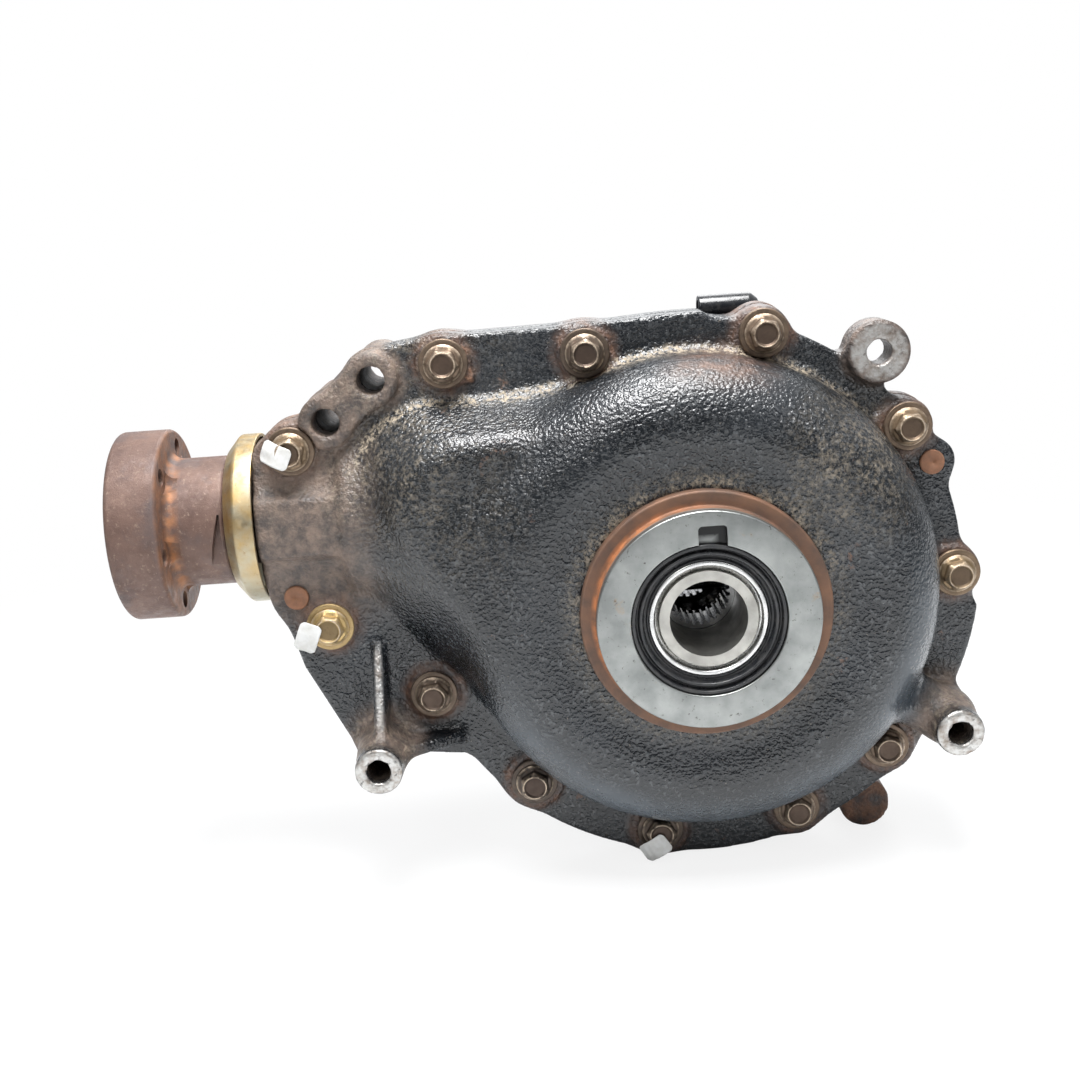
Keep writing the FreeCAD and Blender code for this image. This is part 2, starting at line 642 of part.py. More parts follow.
def make_housing():
    plate = dims.housing_plate
    parts = flange_plate("housing", dims.joint_depth, plate, dims.joint_depth, plate + dims.lobe_rise)
    straight_end = dims.joint_depth + dims.bowl_straight
    parts.append(turned("bowl", [
        (dims.joint_depth, 0), (dims.joint_depth, dome_base_rad), (straight_end, dome_base_rad),
        (dims.bowl_mid_depth, dims.bowl_mid_rad), (dims.bowl_back_depth, dims.bowl_back_rad),
        (dims.bowl_end_depth, dims.rear_boss_rad), (dims.axle_length - 1, dims.rear_boss_rad),
        (dims.axle_length, dims.rear_boss_rad - 1), (dims.axle_length, 0),
    ]))
    barrel = turned_about_pinion("housing_barrel", [
        (dims.hip_start, 0), (dims.hip_start, dims.hip_rad - dims.barrel_bevel),
        (dims.hip_start + dims.barrel_bevel, dims.hip_rad)] + barrel_outline)
    back_half = half_space("back_half", dims.joint_depth, dims.axle_length)
    parts.append(common("housing_barrel_half", barrel, back_half))
    for index, (out, up) in enumerate((ear_a, ear_b), 1):
        ear_height = dims.ear_front + dims.ear_length - dims.joint_depth
        parts.append(rod("housing_ear_%d" % index, dims.ear_rad, ear_height, out, dims.joint_depth, up))
    for index in range(int(dims.rear_ribs.number)):
        turn = 360 * index / dims.rear_ribs.number + dims.rear_rib_turn.number
        rib_points = [
            (joint_back - 1, dims.rear_rib_inner), (joint_back - 1, dims.rear_rib_outer),
            (joint_back + 6, dims.rear_rib_outer),
            (dims.bowl_end_depth + dims.rear_rib_rise, dims.rear_boss_rad - 2),
            (dims.bowl_end_depth, dims.rear_boss_rad - 7),
        ]
        tilt = Rotation(Vector(0, 1, 0), turn).multiply(SIDE_VIEW)
        parts.append(web("rear_rib_%d" % index, rib_points, dims.rear_rib_thickness, tilt))
    parts.append(rod("lower_lug", dims.lower_lug_rad, dims.lower_lug_length, lower_lug[0],
                     dims.lower_lug_front, lower_lug[1]))
    side, reach = dims.lower_lug_rad * 0.7, dims.lower_lug_rad * 2.5
    parts.append(slab("lower_lug_arm", [
        (lower_lug[0] - side, lower_lug[1] - side), (lower_lug[0] + side, lower_lug[1] + side),
        (lower_lug[0] + side - reach, lower_lug[1] + side + reach),
        (lower_lug[0] - side - reach, lower_lug[1] - side + reach),
    ], dims.lower_lug_front, dims.joint_depth + plate - dims.lower_lug_front + 8, FRONT_VIEW, (0, 1, 0)))
    boss_start = breather_seat - dims.breather_boss_length
    parts.append(rod("breather_boss", dims.breather_boss_rad, dims.breather_boss_length,
                     dims.breather_out, dims.breather_depth, boss_start, UPRIGHT))
    for name, out, up in plug_places:
        parts.append(rod(name + "_boss", dims.plug_head_rad + 2, plug_seat - joint_back,
                         out, joint_back, up))
    solid = fuse("housing_solid", parts)

    wall = dims.housing_wall
    room = turned("housing_room", [
        (dims.joint_depth - 1, 0), (dims.joint_depth - 1, dome_base_rad - dims.dome_wall),
        (straight_end - wall * 0.4, dome_base_rad - dims.dome_wall),
        (dims.bowl_mid_depth - wall * 0.6, dims.bowl_mid_rad - wall * 0.9),
        (dims.bowl_back_depth - wall * 0.9, dims.bowl_back_rad - wall * 0.7),
        (dims.bowl_end_depth - wall, dims.rear_boss_rad - 2), (dims.bowl_end_depth - wall, 0),
    ])
    tools = joint_holes("housing", dims.bolt_rad, dims.joint_depth - 1, plate + 9)
    tools += [
        room, pinion_bores("housing_pinion_bores"),
        rod("rear_bearing_bore", dims.axle_outer_rad, rear_shim_end - dims.bowl_end_depth + wall + 1,
            0, dims.bowl_end_depth - wall - 1, 0),
        rod("rear_seal_bore", dims.seal_rad, dims.axle_length, 0, rear_shim_end - 1, 0),
        rod("breather_hole", dims.breather_stem_rad, dims.breather_boss_length + 12, dims.breather_out,
            dims.breather_depth, boss_start - 8, UPRIGHT),
    ]
    for name, out, up in plug_places:
        tools.append(rod(name + "_hole", dims.plug_rad, dims.plug_length * 4, out,
                         plug_seat - dims.plug_length * 3, up))
    node(cut("housing", solid, tools), "housing")


def make_plugs():
    """Hexagon-socket plugs in the back of the bowl, each on a sealing washer."""
    washers = []
    for name, out, up in plug_places:
        thick = dims.side_washer_thickness
        disc = rod(name + "_washer_disc", dims.plug_head_rad, thick, out, plug_seat, up)
        bore = rod(name + "_washer_bore", dims.plug_rad, thick * 3, out, plug_seat - thick, up)
        washers.append(cut(name + "_washer", disc, bore))
        shank = rod(name + "_shank", dims.plug_rad, dims.plug_length + thick, out,
                    plug_seat - dims.plug_length, up)
        head = rod(name + "_head", dims.plug_head_rad, dims.plug_head_height, out, plug_seat + thick, up)
        key = new("Part::Prism", name + "_key", Circumradius=dims.plug_key_rad, Height=dims.plug_length)
        key.Polygon = 6
        place(key, out, plug_seat + thick - dims.plug_head_height, up, INTO_UNIT)
        node(cut(name, fuse(name + "_solid", [shank, head]), key), name)
    node(group("plug_washers", washers), "plug_washers")


def make_joint_fasteners():
    """Flanged hexagon bolts with loose washers, and the two dowels that align the castings."""
    front = dims.pad_depth - dims.washer_thickness
    corner_rad = dims.head_across_flats / root_of(Size(3))
    head = new("Part::Prism", "bolt_head", Circumradius=corner_rad, Height=dims.head_height)
    head.Polygon = 6
    place(head, 0, -dims.head_height, 0, INTO_UNIT)
    dish = rod("bolt_dish", dims.head_dish_rad, 5, 0, dims.head_dish_depth - dims.head_height - 5, 0)
    bevel = turned("bolt_bevel", [
        (-dims.head_height, 0), (-dims.head_height, corner_rad * 0.86),
        (-dims.head_height * 0.75, corner_rad), (0, corner_rad), (0, 0),
    ])
    crown = cut("bolt_crown", common("bolt_hexagon", head, bevel), dish)
    flange = rod("bolt_flange", dims.head_flange_rad, dims.head_flange_height,
                 0, -dims.head_flange_height, 0)
    shank_length = dims.bolt_grip_length + dims.washer_thickness
    shank = rod("bolt_shank", dims.bolt_rad, shank_length, 0, -0.5, 0)
    bolt = fuse("one_bolt", [crown, flange, shank])
    washer = cut("one_washer", rod("washer_disc", dims.washer_rad, dims.washer_thickness, 0, 0, 0),
                 rod("washer_bore", dims.bolt_rad + dims.bolt_hole_slack, 10, 0, -1, 0))
    dowel = fuse("one_dowel", [
        rod("dowel_body", dims.dowel_rad, dims.dowel_length - 1, 0, 0, 0),
        rod("dowel_tip", dims.dowel_rad - 0.6, dims.dowel_length, 0, 0, 0),
    ])
    copies(bolt, "cover_bolts", bolt_places, front)
    copies(washer, "cover_bolt_washers", bolt_places, front)
    copies(dowel, "dowel_pins", dowel_places, dowel_front)


def copies(piece, label, places, depth):
    """One node of separate solids: the same piece set at each place."""
    links = []
    for index, (out, up) in enumerate(places, 1):
        link = doc.addObject("App::Link", "%s_%d" % (label, index))
        link.LinkedObject = piece
        links.append(place(link, out, depth, up))
    node(group(label, links), label)


def make_breather():
    """A push-in plastic elbow on top of the housing, open at its end."""
    stem = rod("breather_stem", dims.breather_stem_rad, dims.breather_stem_length, dims.breather_out,
               dims.breather_depth, dims.breather_height - dims.breather_stem_length, UPRIGHT)
    collar = rod("breather_collar", dims.breather_collar_rad, dims.breather_collar_height,
                 dims.breather_out, dims.breather_depth, breather_seat, UPRIGHT)
    start = dims.breather_out - dims.breather_tube_length * 0.3
    tube = rod("breather_tube", dims.breather_tube_rad, dims.breather_tube_length, start,
               dims.breather_depth, dims.breather_height, TO_RIGHT)
    bore = rod("breather_bore", dims.breather_bore_rad, dims.breather_tube_length * 0.8, start - 1,
               dims.breather_depth, dims.breather_height, TO_RIGHT)
    channel = rod("breather_channel", dims.breather_bore_rad * 0.6, dims.breather_stem_length + 10,
                  dims.breather_out, dims.breather_depth,
                  dims.breather_height - dims.breather_stem_length - 10, UPRIGHT)
    node(cut("breather", fuse("breather_solid", [stem, collar, tube]), [bore, channel]), "breather_elbow")


def tapered_bearing(label, bore, outer, width, rollers, start, heading, rotation=ALONG_AXLE, line=(0, 0, 0)):
    """Inner race, outer race, rollers and cage, all cones meeting at one point on the axis.

    Distances run from the inner race's thrust face, at start, along heading.
    """
    tilt = dims.roller_tilt
    middle = width / 2
    pitch_rad = (bore + outer) / 2
    roller_rad = (outer - bore) * dims.roller_share
    apex = middle + pitch_rad / tangent(tilt)
    spread = roller_rad * sine(tilt) / pitch_rad
    inner_slope = (tangent(tilt) - spread) / (tangent(tilt) * spread + 1)
    outer_slope = (tangent(tilt) + spread) / (1 - tangent(tilt) * spread)

    def at(distance):
        return start + distance * heading

    def on_cone(distance, slope):
        return (apex - distance) * slope

    inner_end = width * dims.inner_share
    small_rib = inner_end - dims.inner_rib * 0.6
    rib_height = roller_rad * 0.8
    node(turned(label + "_inner_race", [
        (at(0), bore), (at(0), on_cone(dims.inner_rib, inner_slope) + rib_height),
        (at(dims.inner_rib), on_cone(dims.inner_rib, inner_slope) + rib_height),
        (at(dims.inner_rib), on_cone(dims.inner_rib, inner_slope)),
        (at(small_rib), on_cone(small_rib, inner_slope)),
        (at(small_rib), on_cone(small_rib, inner_slope) + rib_height * 0.35),
        (at(inner_end), on_cone(small_rib, inner_slope) + rib_height * 0.35), (at(inner_end), bore),
    ], rotation, line), label + "_inner_race")
    outer_start = width - width * dims.outer_share
    node(turned(label + "_outer_race", [
        (at(outer_start), on_cone(outer_start, outer_slope)), (at(width), on_cone(width, outer_slope)),
        (at(width), outer), (at(outer_start), outer),
    ], rotation, line), label + "_outer_race")

    def roller_corners(gap, end_gap):
        """Half the section of a roller: its axis and its outer line, squared off at both ends."""
        big = dims.inner_rib + roller_rad * sine(tilt) + end_gap
        small = small_rib - end_gap
        corners = []
        for distance in (big, small):
            rad = (apex - distance) / cosine(tilt) * spread - gap
            on_axis = (apex - distance) * tangent(tilt)
            corners.append((at(distance), on_axis))
            corners.append((at(distance + rad * sine(tilt)), on_axis + rad * cosine(tilt)))
        return [corners[0], corners[2], corners[3], corners[1]]

    body = doc.addObject("PartDesign::Body", label + "_rollers")
    sketch = body_sketch(body, label + "_roller_profile",
                         roller_corners(dims.roller_gap, dims.roller_end_gap), (0, 1))
    turn = body.newObject("PartDesign::Revolution", label + "_roller")
    turn.Profile = sketch
    turn.ReferenceAxis = (sketch, ["Axis0"])
    turn.Angle = 360
    round_axis(body, turn, rollers)
    node(place(body, *line, rotation), label + "_rollers")

    body = doc.addObject("PartDesign::Body", label + "_cage")
    lift = roller_rad * 0.25
    cage_start = dims.inner_rib * 0.6
    cage_end = inner_end - 0.2
    corners = []
    for distance in (cage_start, cage_end):
        rad = (apex - distance) * tangent(tilt) + lift
        corners.append((at(distance), rad))
        corners.append((at(distance), rad + dims.cage_wall))
    band = body.newObject("PartDesign::Revolution", label + "_band")
    band.Profile = body_sketch(body, label + "_band_profile",
                               [corners[0], corners[2], corners[3], corners[1]])
    band.ReferenceAxis = (band.Profile[0], ["H_Axis"])
    band.Angle = 360
    doc.recompute()
    window = body.newObject("PartDesign::Groove", label + "_window")
    window.Profile = body_sketch(body, label + "_window_profile",
                                 roller_corners(dims.roller_gap - dims.cage_gap, Size(0)), (0, 1))
    window.ReferenceAxis = (window.Profile[0], ["Axis0"])
    window.Angle = 360
    round_axis(body, window, rollers)
    node(place(body, *line, rotation), label + "_cage")


def round_axis(body, piece, count):
    pattern = body.newObject("PartDesign::PolarPattern", body.Name + "_pattern")
    pattern.Originals = [piece]
    pattern.Axis = (origin_feature(body, "X_Axis"), [""])
    pattern.Angle = 360
    bind(pattern, "Occurrences", count)
    body.Tip = pattern


def make_bearings():
    tapered_bearing("front_bearing", dims.axle_bore_rad, dims.axle_outer_rad, dims.axle_width,
                    dims.axle_rollers, dims.front_seat, -1)
    tapered_bearing("rear_bearing", dims.axle_bore_rad, dims.axle_outer_rad, dims.axle_width,
                    dims.axle_rollers, dims.rear_seat, 1)
    tapered_bearing("head_bearing", dims.head_bore_rad, dims.head_outer_rad, dims.head_width,
                    dims.head_rollers, dims.head_seat, 1, ALONG_PINION, pinion_line)
    tapered_bearing("tail_bearing", dims.tail_bore_rad, dims.tail_outer_rad, dims.tail_width,
                    dims.tail_rollers, dims.hub_end, -1, ALONG_PINION, pinion_line)
    shim = dims.shim_thickness
    inner = dims.axle_outer_rad - 5
    node(ring("front_shim", front_shim_start, front_shim_start + shim, inner, dims.axle_outer_rad),
         "front_shim")
    node(ring("rear_shim", rear_shim_end - shim, rear_shim_end, inner, dims.axle_outer_rad), "rear_shim")
    node(ring("pinion_shim", head_shoulder - shim, head_shoulder, dims.shoulder_bore_rad,
              dims.head_outer_rad, ALONG_PINION, pinion_line), "pinion_shim")


def shaft_seal(label, mouth, heading, outer, lip, rotation=ALONG_AXLE, line=(0, 0, 0), width=None):
    """A lip seal in its steel case, and the garter spring that closes the lip."""
    width = dims.seal_width if width is None else width
    wall = dims.seal_wall

    def at(distance):
        return mouth + distance * heading

    lip_root = lip + wall * 1.4
    node(turned(label, [
        (at(0), outer), (at(width), outer), (at(width), outer - wall), (at(wall), outer - wall),
        (at(wall), lip_root + wall), (at(width * 0.62), lip_root), (at(width * 0.62), lip), (at(0), lip),
    ], rotation, line), label)
    spring = new("Part::Torus", label + "_spring", Radius1=lip_root + wall * 0.8 + dims.seal_spring_rad,
                 Radius2=dims.seal_spring_rad)
    turn = INTO_UNIT if rotation == ALONG_AXLE else TO_FLANGE
    spot = at(width * 0.5)
    if rotation == ALONG_AXLE:
        place(spring, 0, spot, 0, turn)
    else:
        place(spring, -spot, line[1], line[2], turn)
    node(spring, label + "_spring")


def make_seals():
    lip = dims.sleeve_ring_rad + dims.seal_lip_gap
    rear_mouth = dims.axle_length - dims.seal_depth
    shaft_seal("front_output_seal", dims.seal_depth, 1, dims.seal_rad, lip)
    shaft_seal("rear_output_seal", rear_mouth, -1, dims.seal_rad, lip)
    shaft_seal("pinion_seal", dims.pinion_seal_start + dims.pinion_seal_width, -1, dims.pinion_seal_rad,
               dims.journal_rad + dims.seal_lip_gap, ALONG_PINION, pinion_line, dims.pinion_seal_width)
    start = dims.case_end_recess
    length = dims.sleeve_ring_length
    node(ring("front_wear_sleeve", start, start + length, dims.axle_bore_rad, dims.sleeve_ring_rad),
         "front_wear_sleeve")
    end = dims.axle_length - start
    node(ring("rear_wear_sleeve", end - length, end, dims.axle_bore_rad, dims.sleeve_ring_rad),
         "rear_wear_sleeve")


# Hypoid teeth. The pinion's teeth are drawn, and the ring's are what the rolling pinion leaves.
ratio = dims.ring_teeth.number / dims.pinion_teeth.number
offset = dims.pinion_offset.number
line_depth = dims.pinion_depth.number
pressure = math.radians(dims.pressure_angle.number)


def involute(angle):
    return math.tan(angle) - angle


def pinion_pitch(out):
    return dims.pinion_mid_rad.number + dims.pinion_taper.number * (out - dims.pinion_mid.number)


def tooth_scale(out):
    return 1 + dims.tooth_growth.number * (out - dims.pinion_mid.number)


def pinion_root(out):
    return pinion_pitch(out) - dims.pinion_dedendum.number * tooth_scale(out)


def pinion_tip(out):
    return pinion_pitch(out) + dims.pinion_addendum.number * tooth_scale(out)


def tooth_twist(out):
    """Turn of the tooth along the pinion, so that it slides along the ring's teeth everywhere."""
    taper = dims.pinion_taper.number
    apex = dims.pinion_mid_rad.number - taper * dims.pinion_mid.number

    def integral(place_out):
        return ratio * place_out - place_out / taper + apex / taper ** 2 * math.log(pinion_pitch(place_out))

    return -(integral(out) - integral(dims.pinion_mid.number)) / offset


def half_tooth(out, rad):
    """Half the angle that a pinion tooth fills at a radius, on an involute flank."""
    pitch = pinion_pitch(out)
    here = math.acos(min(1.0, pitch * math.cos(pressure) / rad))
    at_pitch = dims.tooth_share.number * math.pi / dims.pinion_teeth.number
    return at_pitch + involute(pressure) - involute(here)


def pinion_outline(out):
    """The whole toothed section of the pinion at one distance out, in its own line's frame."""
    teeth = int(dims.pinion_teeth.number)
    root, tip = pinion_root(out), pinion_tip(out)
    steps = 4

    def spot(rad, turn):
        return Vector(out, rad * math.cos(turn), -rad * math.sin(turn))

    edges = []
    for tooth in range(teeth):
        middle = tooth_twist(out) + 2 * math.pi * tooth / teeth
        rads = [root + (tip - root) * step / steps for step in range(steps + 1)]
        rise = [spot(rad, middle - half_tooth(out, rad)) for rad in rads]
        fall = [spot(rad, middle + half_tooth(out, rad)) for rad in reversed(rads)]
        for points in (rise, fall):
            curve = Part.BSplineCurve()
            curve.interpolate(points)
            if points is fall:
                edges.append(Part.Arc(rise[-1], spot(tip, middle), fall[0]).toShape())
            edges.append(curve.toShape())
        gap_middle = middle + math.pi / teeth
        following = spot(root, middle + 2 * math.pi / teeth - half_tooth(out, root))
        edges.append(Part.Arc(fall[-1], spot(root, gap_middle), following).toShape())
    return Part.Wire(edges)


def make_pinion():
    """The pinion in one piece: toothed head, bearing seats, spline and threaded end."""
    start, end = dims.pinion_start.number, dims.pinion_end.number
    stations = 14
    sections = [pinion_outline(start + (end - start) * step / (stations - 1)) for step in range(stations)]
    head = Part.makeLoft(sections, True, False)
    back = dims.head_seat.number
    shaft = solid_of_revolution([
        (end - 6, 0), (end - 6, pinion_root(end) - 2), (end, pinion_root(end) - 1),
        (back, dims.pinion_back_rad.number), (back, dims.head_bore_rad.number),
        (back + dims.head_width.number, dims.head_bore_rad.number),
        (back + dims.head_width.number, dims.shaft_mid_rad.number),
        (dims.hub_end.number - 1, dims.tail_bore_rad.number),
        (dims.hub_end.number, dims.spline_rad.number - dims.spline_clearance.number),
        (dims.spline_end.number, dims.spline_rad.number - dims.spline_clearance.number),
        (dims.spline_end.number + 1, dims.stud_rad.number),
        (dims.stud_end.number - 1, dims.stud_rad.number), (dims.stud_end.number, dims.stud_rad.number - 1),
        (dims.stud_end.number, 0),
    ])
    whole = head.fuse(shaft)
    node(feature("pinion_shaft", whole.Solids[0], *pinion_line, ALONG_PINION), "pinion_shaft")


def solid_of_revolution(points):
    """Turn a closed outline of (distance along X, radius) about X."""
    corners = [Vector(along, rad, 0) for along, rad in points]
    face = Part.Face(Part.makePolygon(corners + corners[:1]))
    return face.revolve(Vector(0, 0, 0), Vector(1, 0, 0), 360)


def ring_limit(rad, pinion_surface):
    """The depth at which the ring's cone at a radius just clears a turned surface of the pinion."""
    nearest = line_depth
    for step in range(-60, 61):
        up = offset + step * 0.3
        if abs(up) >= rad:
            continue
        out = math.sqrt(rad * rad - up * up)
        reach = pinion_surface(out) ** 2 - (up - offset) ** 2
        if reach > 0:
            nearest = min(nearest, line_depth - math.sqrt(reach))
    return nearest - dims.root_clearance.number


def swept_flanks(planes, levels, tooth_turn):
    """Where the rolling pinion tooth reaches on both sides of one ring tooth.

    The ring tooth's own frame has its middle line at tooth_turn. planes are distances along that
    line, and levels are the depths to report for each plane.
    """
    tooth_step = 2 * math.pi / dims.ring_teeth.number
    first, last = dims.pinion_start.number - 4, dims.pinion_end.number + 4
    outs = [first + (last - first) * step / 24 for step in range(25)]
    shares = [step / 7 for step in range(8)]
    reach = {-1: [[-1e9] * len(row) for row in levels], 1: [[1e9] * len(row) for row in levels]}
    for roll_step in range(-70, 71):
        roll = roll_step * 0.035
        ring_roll = roll / ratio
        for side in (-1, 1):
            shift = ring_roll - tooth_turn + (tooth_step if side == 1 else 0)
            crossings = [[] for plane in planes]
            for share in shares:
                before = None
                for out in outs:
                    rad = pinion_root(out) + share * (pinion_tip(out) - pinion_root(out))
                    turn = tooth_twist(out) + side * half_tooth(out, rad) + roll
                    if abs(turn) > 1.3:
                        before = None
                        continue
                    up = offset - rad * math.sin(turn)
                    depth = line_depth - rad * math.cos(turn)
                    ring_rad = math.hypot(out, up)
                    ring_turn = math.atan2(-out, up) + shift
                    along = ring_rad * math.cos(ring_turn)
                    across = ring_rad * math.sin(ring_turn)
                    if before:
                        for index, plane in enumerate(planes):
                            if (before[0] - plane) * (along - plane) <= 0 and along != before[0]:
                                part = (plane - before[0]) / (along - before[0])
                                crossings[index].append((
                                    before[1] + part * (across - before[1]),
                                    before[2] + part * (depth - before[2]),
                                ))
                    before = (along, across, depth)
            for index, points in enumerate(crossings):
                for (across_a, depth_a), (across_b, depth_b) in zip(points, points[1:]):
                    for row, level in enumerate(levels[index]):
                        if (depth_a - level) * (depth_b - level) <= 0 and depth_a != depth_b:
                            part = (level - depth_a) / (depth_b - depth_a)
                            across = across_a + part * (across_b - across_a)
                            best = reach[side][index]
                            best[row] = max(best[row], across) if side == -1 else min(best[row], across)
    return reach


def ring_tooth(inner, outer):
    """One ring tooth: the ground between two swept spaces, lofted from inner to outer end."""
    mid_out = dims.pinion_mid.number
    tooth_step = 2 * math.pi / dims.ring_teeth.number
    tooth_turn = math.atan2(-mid_out, offset) + tooth_step / 2
    tip = [ring_limit(rad, pinion_root) for rad in (inner, outer)]
    root = [ring_limit(rad, pinion_tip) for rad in (inner, outer)]
    planes = [inner - 4 + (outer + 6 - inner) * step / 5 for step in range(6)]
    rows = 6
    levels = []
    for plane in planes:
        share = (plane - inner) / (outer - inner)
        top = tip[0] + share * (tip[1] - tip[0]) + 0.2
        bottom = root[0] + share * (root[1] - root[0]) + dims.root_clearance.number + 0.3
        levels.append([top + (bottom - top) * row / (rows - 1) for row in range(rows)])
    reach = swept_flanks(planes, levels, tooth_turn)
    margin = dims.flank_clearance.number
    sections = []
    for index, plane in enumerate(planes):
        near, far = zip(reach[-1][index], levels[index]), zip(reach[1][index], levels[index])
        left = [Vector(across + margin, depth, plane) for across, depth in near]
        right = [Vector(across - margin, depth, plane) for across, depth in far]
        foot = dims.root_clearance.number + 2
        flanks = []
        for flank in (left, right):
            curve = Part.BSplineCurve()
            curve.interpolate(flank)
            flanks.append(curve.toShape())
        low_left = left[-1] - Vector(0, foot, 0)
        low_right = right[-1] - Vector(0, foot, 0)
        sections.append(Part.Wire(Part.sortEdges([
            flanks[0], Part.LineSegment(left[-1], low_left).toShape(),
            Part.LineSegment(low_left, low_right).toShape(),
            Part.LineSegment(low_right, right[-1]).toShape(), flanks[1],
            Part.LineSegment(right[0], left[0]).toShape(),
        ])[0]))
    tooth = Part.makeLoft(sections, True, False)
    tooth.rotate(Vector(0, 0, 0), Vector(0, 1, 0), math.degrees(tooth_turn))
    return tooth, tip, root


def make_ring_gear():
    """Ring gear: a turned blank, its bolt holes, and teeth left by the rolling pinion."""
    inner, outer = dims.ring_inner_rad.number, dims.ring_rad.number
    back = (dims.case_flange_front + dims.case_flange_thickness).number
    tooth, tip, root = ring_tooth(inner, outer)
    fall = (tip[1] - tip[0]) / (outer - inner)
    envelope = turned_about_axle([
        (root[0] - 3, inner), (tip[0], inner), (tip[1] - fall * 1.2, outer - 1.2), (tip[1] - 1, outer),
        (root[1] - 1.5, outer),
    ])
    tooth = tooth.common(envelope)
    case_pilot = dims.case_pilot_rad.number
    blank = turned_about_axle([
        (back, case_pilot), (back, outer - 3), (back + 3, outer), (root[1], outer), (root[0], inner),
        (root[0] - 2, inner - 3), (back + dims.case_pilot_length.number, case_pilot),
    ])
    teeth = []
    count = int(dims.ring_teeth.number)
    for index in range(count):
        copy = tooth.copy()
        copy.rotate(Vector(0, 0, 0), Vector(0, 1, 0), 360 * index / count)
        teeth.append(copy)
    whole = blank.multiFuse(teeth)
    holes = []
    for index in range(int(dims.ring_bolts.number)):
        turn = 2 * math.pi * index / dims.ring_bolts.number
        rad = dims.ring_bolt_circle_rad.number
        spot = Vector(rad * math.sin(turn), back - 1, rad * math.cos(turn))
        length = dims.ring_bolt_length.number - dims.case_flange_thickness.number + 2
        holes.append(Part.makeCylinder(dims.ring_bolt_rad.number, length, spot, Vector(0, 1, 0)))
    whole = whole.cut(Part.makeCompound(holes))
    node(feature("ring_gear", whole.Solids[0]), "ring_gear")


def turned_about_axle(points):
    shape = solid_of_revolution(points)
    shape.rotate(Vector(0, 0, 0), Vector(0, 0, 1), 90)
    return shape


def bevel_gear(teeth, mate, backing):
    """A straight bevel gear about Z with its apex at the origin, on involute back-cone teeth.

    backing is what carries the teeth, and is fused behind them before the bore is cut.
    """
    module = dims.bevel_module.number
    pitch_rad = module * teeth / 2
    cone = math.atan2(teeth, mate)
    reach = pitch_rad / math.sin(cone)
    back_reach = pitch_rad / math.cos(cone)
    base = back_reach * math.cos(math.radians(dims.bevel_pressure_angle.number))
    tip_reach = back_reach + dims.bevel_addendum.number * module
    root_reach = back_reach - dims.bevel_dedendum.number * module
    small = (reach - dims.bevel_face.number) / reach
    pitch_half = (math.pi * module / 2 - dims.bevel_backlash.number / 2) / (2 * back_reach)
    plane = reach * math.cos(cone)

    def depth_of(along):
        return plane - (along - back_reach) * math.sin(cone)

    def flank_point(along, side, middle):
        here = math.acos(base / max(along, base))
        lean = pitch_half + involute(math.acos(base / back_reach)) - involute(here)
        turn = middle + side * lean / math.cos(cone)
        rad = along * math.cos(cone) * plane / depth_of(along)
        return rad, turn

    def outline(height):
        grow = height / plane

        def spot(rad, turn):
            return Vector(rad * grow * math.cos(turn), rad * grow * math.sin(turn), height)

        alongs = [root_reach + (tip_reach + 0.3 - root_reach) * step / 6 for step in range(7)]
        edges = []
        for tooth in range(teeth):
            middle = 2 * math.pi * tooth / teeth
            rise = [spot(*flank_point(along, -1, middle)) for along in alongs]
            fall = [spot(*flank_point(along, 1, middle)) for along in reversed(alongs)]
            following = spot(*flank_point(root_reach, -1, middle + 2 * math.pi / teeth))
            for points in (rise, fall):
                curve = Part.BSplineCurve()
                curve.interpolate(points)
                edges.append(curve.toShape())
                if points is rise:
                    edges.append(Part.LineSegment(rise[-1], fall[0]).toShape())
            edges.append(Part.LineSegment(fall[-1], following).toShape())
        return Part.Wire(edges)

    star = Part.makeLoft([outline(plane * 0.4), outline(plane * 1.3)], True, True)
    tip_rad, root_rad = tip_reach * math.cos(cone), root_reach * math.cos(cone)
    tip_depth, root_depth = depth_of(tip_reach), depth_of(root_reach)
    zone = solid_of_revolution([
        (root_depth * small, 0), (root_depth * small, root_rad * small), (tip_depth * small, tip_rad * small),
        (tip_depth, tip_rad), (root_depth, root_rad), (root_depth, 0),
    ])
    zone.rotate(Vector(0, 0, 0), Vector(0, 1, 0), -90)
    return star.common(zone).fuse(backing(root_depth, root_rad))


def side_gear_body(root_depth, root_rad):
    disc = Part.makeCylinder(root_rad + 1.5, dims.side_back.number - root_depth + 0.6,
                             Vector(0, 0, root_depth - 0.6))
    hub = Part.makeCylinder(dims.side_hub_rad.number - dims.journal_slack.number,
                            dims.side_hub_end.number - root_depth, Vector(0, 0, root_depth))
    return disc.fuse(hub)


def planet_body(root_depth, root_rad):
    disc = Part.makeCylinder(root_rad + 1.5, dims.planet_back_rad.number - root_depth + 0.6,
                             Vector(0, 0, root_depth - 0.6))
    return disc.common(Part.makeSphere(dims.planet_back_rad.number))


def spline_cutter():
    """The space of an internally splined bore, as a star-shaped prism."""
    count = int(dims.spline_teeth.number)
    major, minor = dims.spline_major_rad.number, dims.spline_minor_rad.number
    corners = []
    for tooth in range(count):
        for share, rad in ((0, minor), (0.28, minor), (0.42, major), (0.86, major)):
            turn = 2 * math.pi * (tooth + share) / count
            corners.append(Vector(rad * math.cos(turn), rad * math.sin(turn), 0))
    face = Part.Face(Part.makePolygon(corners + corners[:1]))
    return face.extrude(Vector(0, 0, dims.side_hub_end.number * 2))


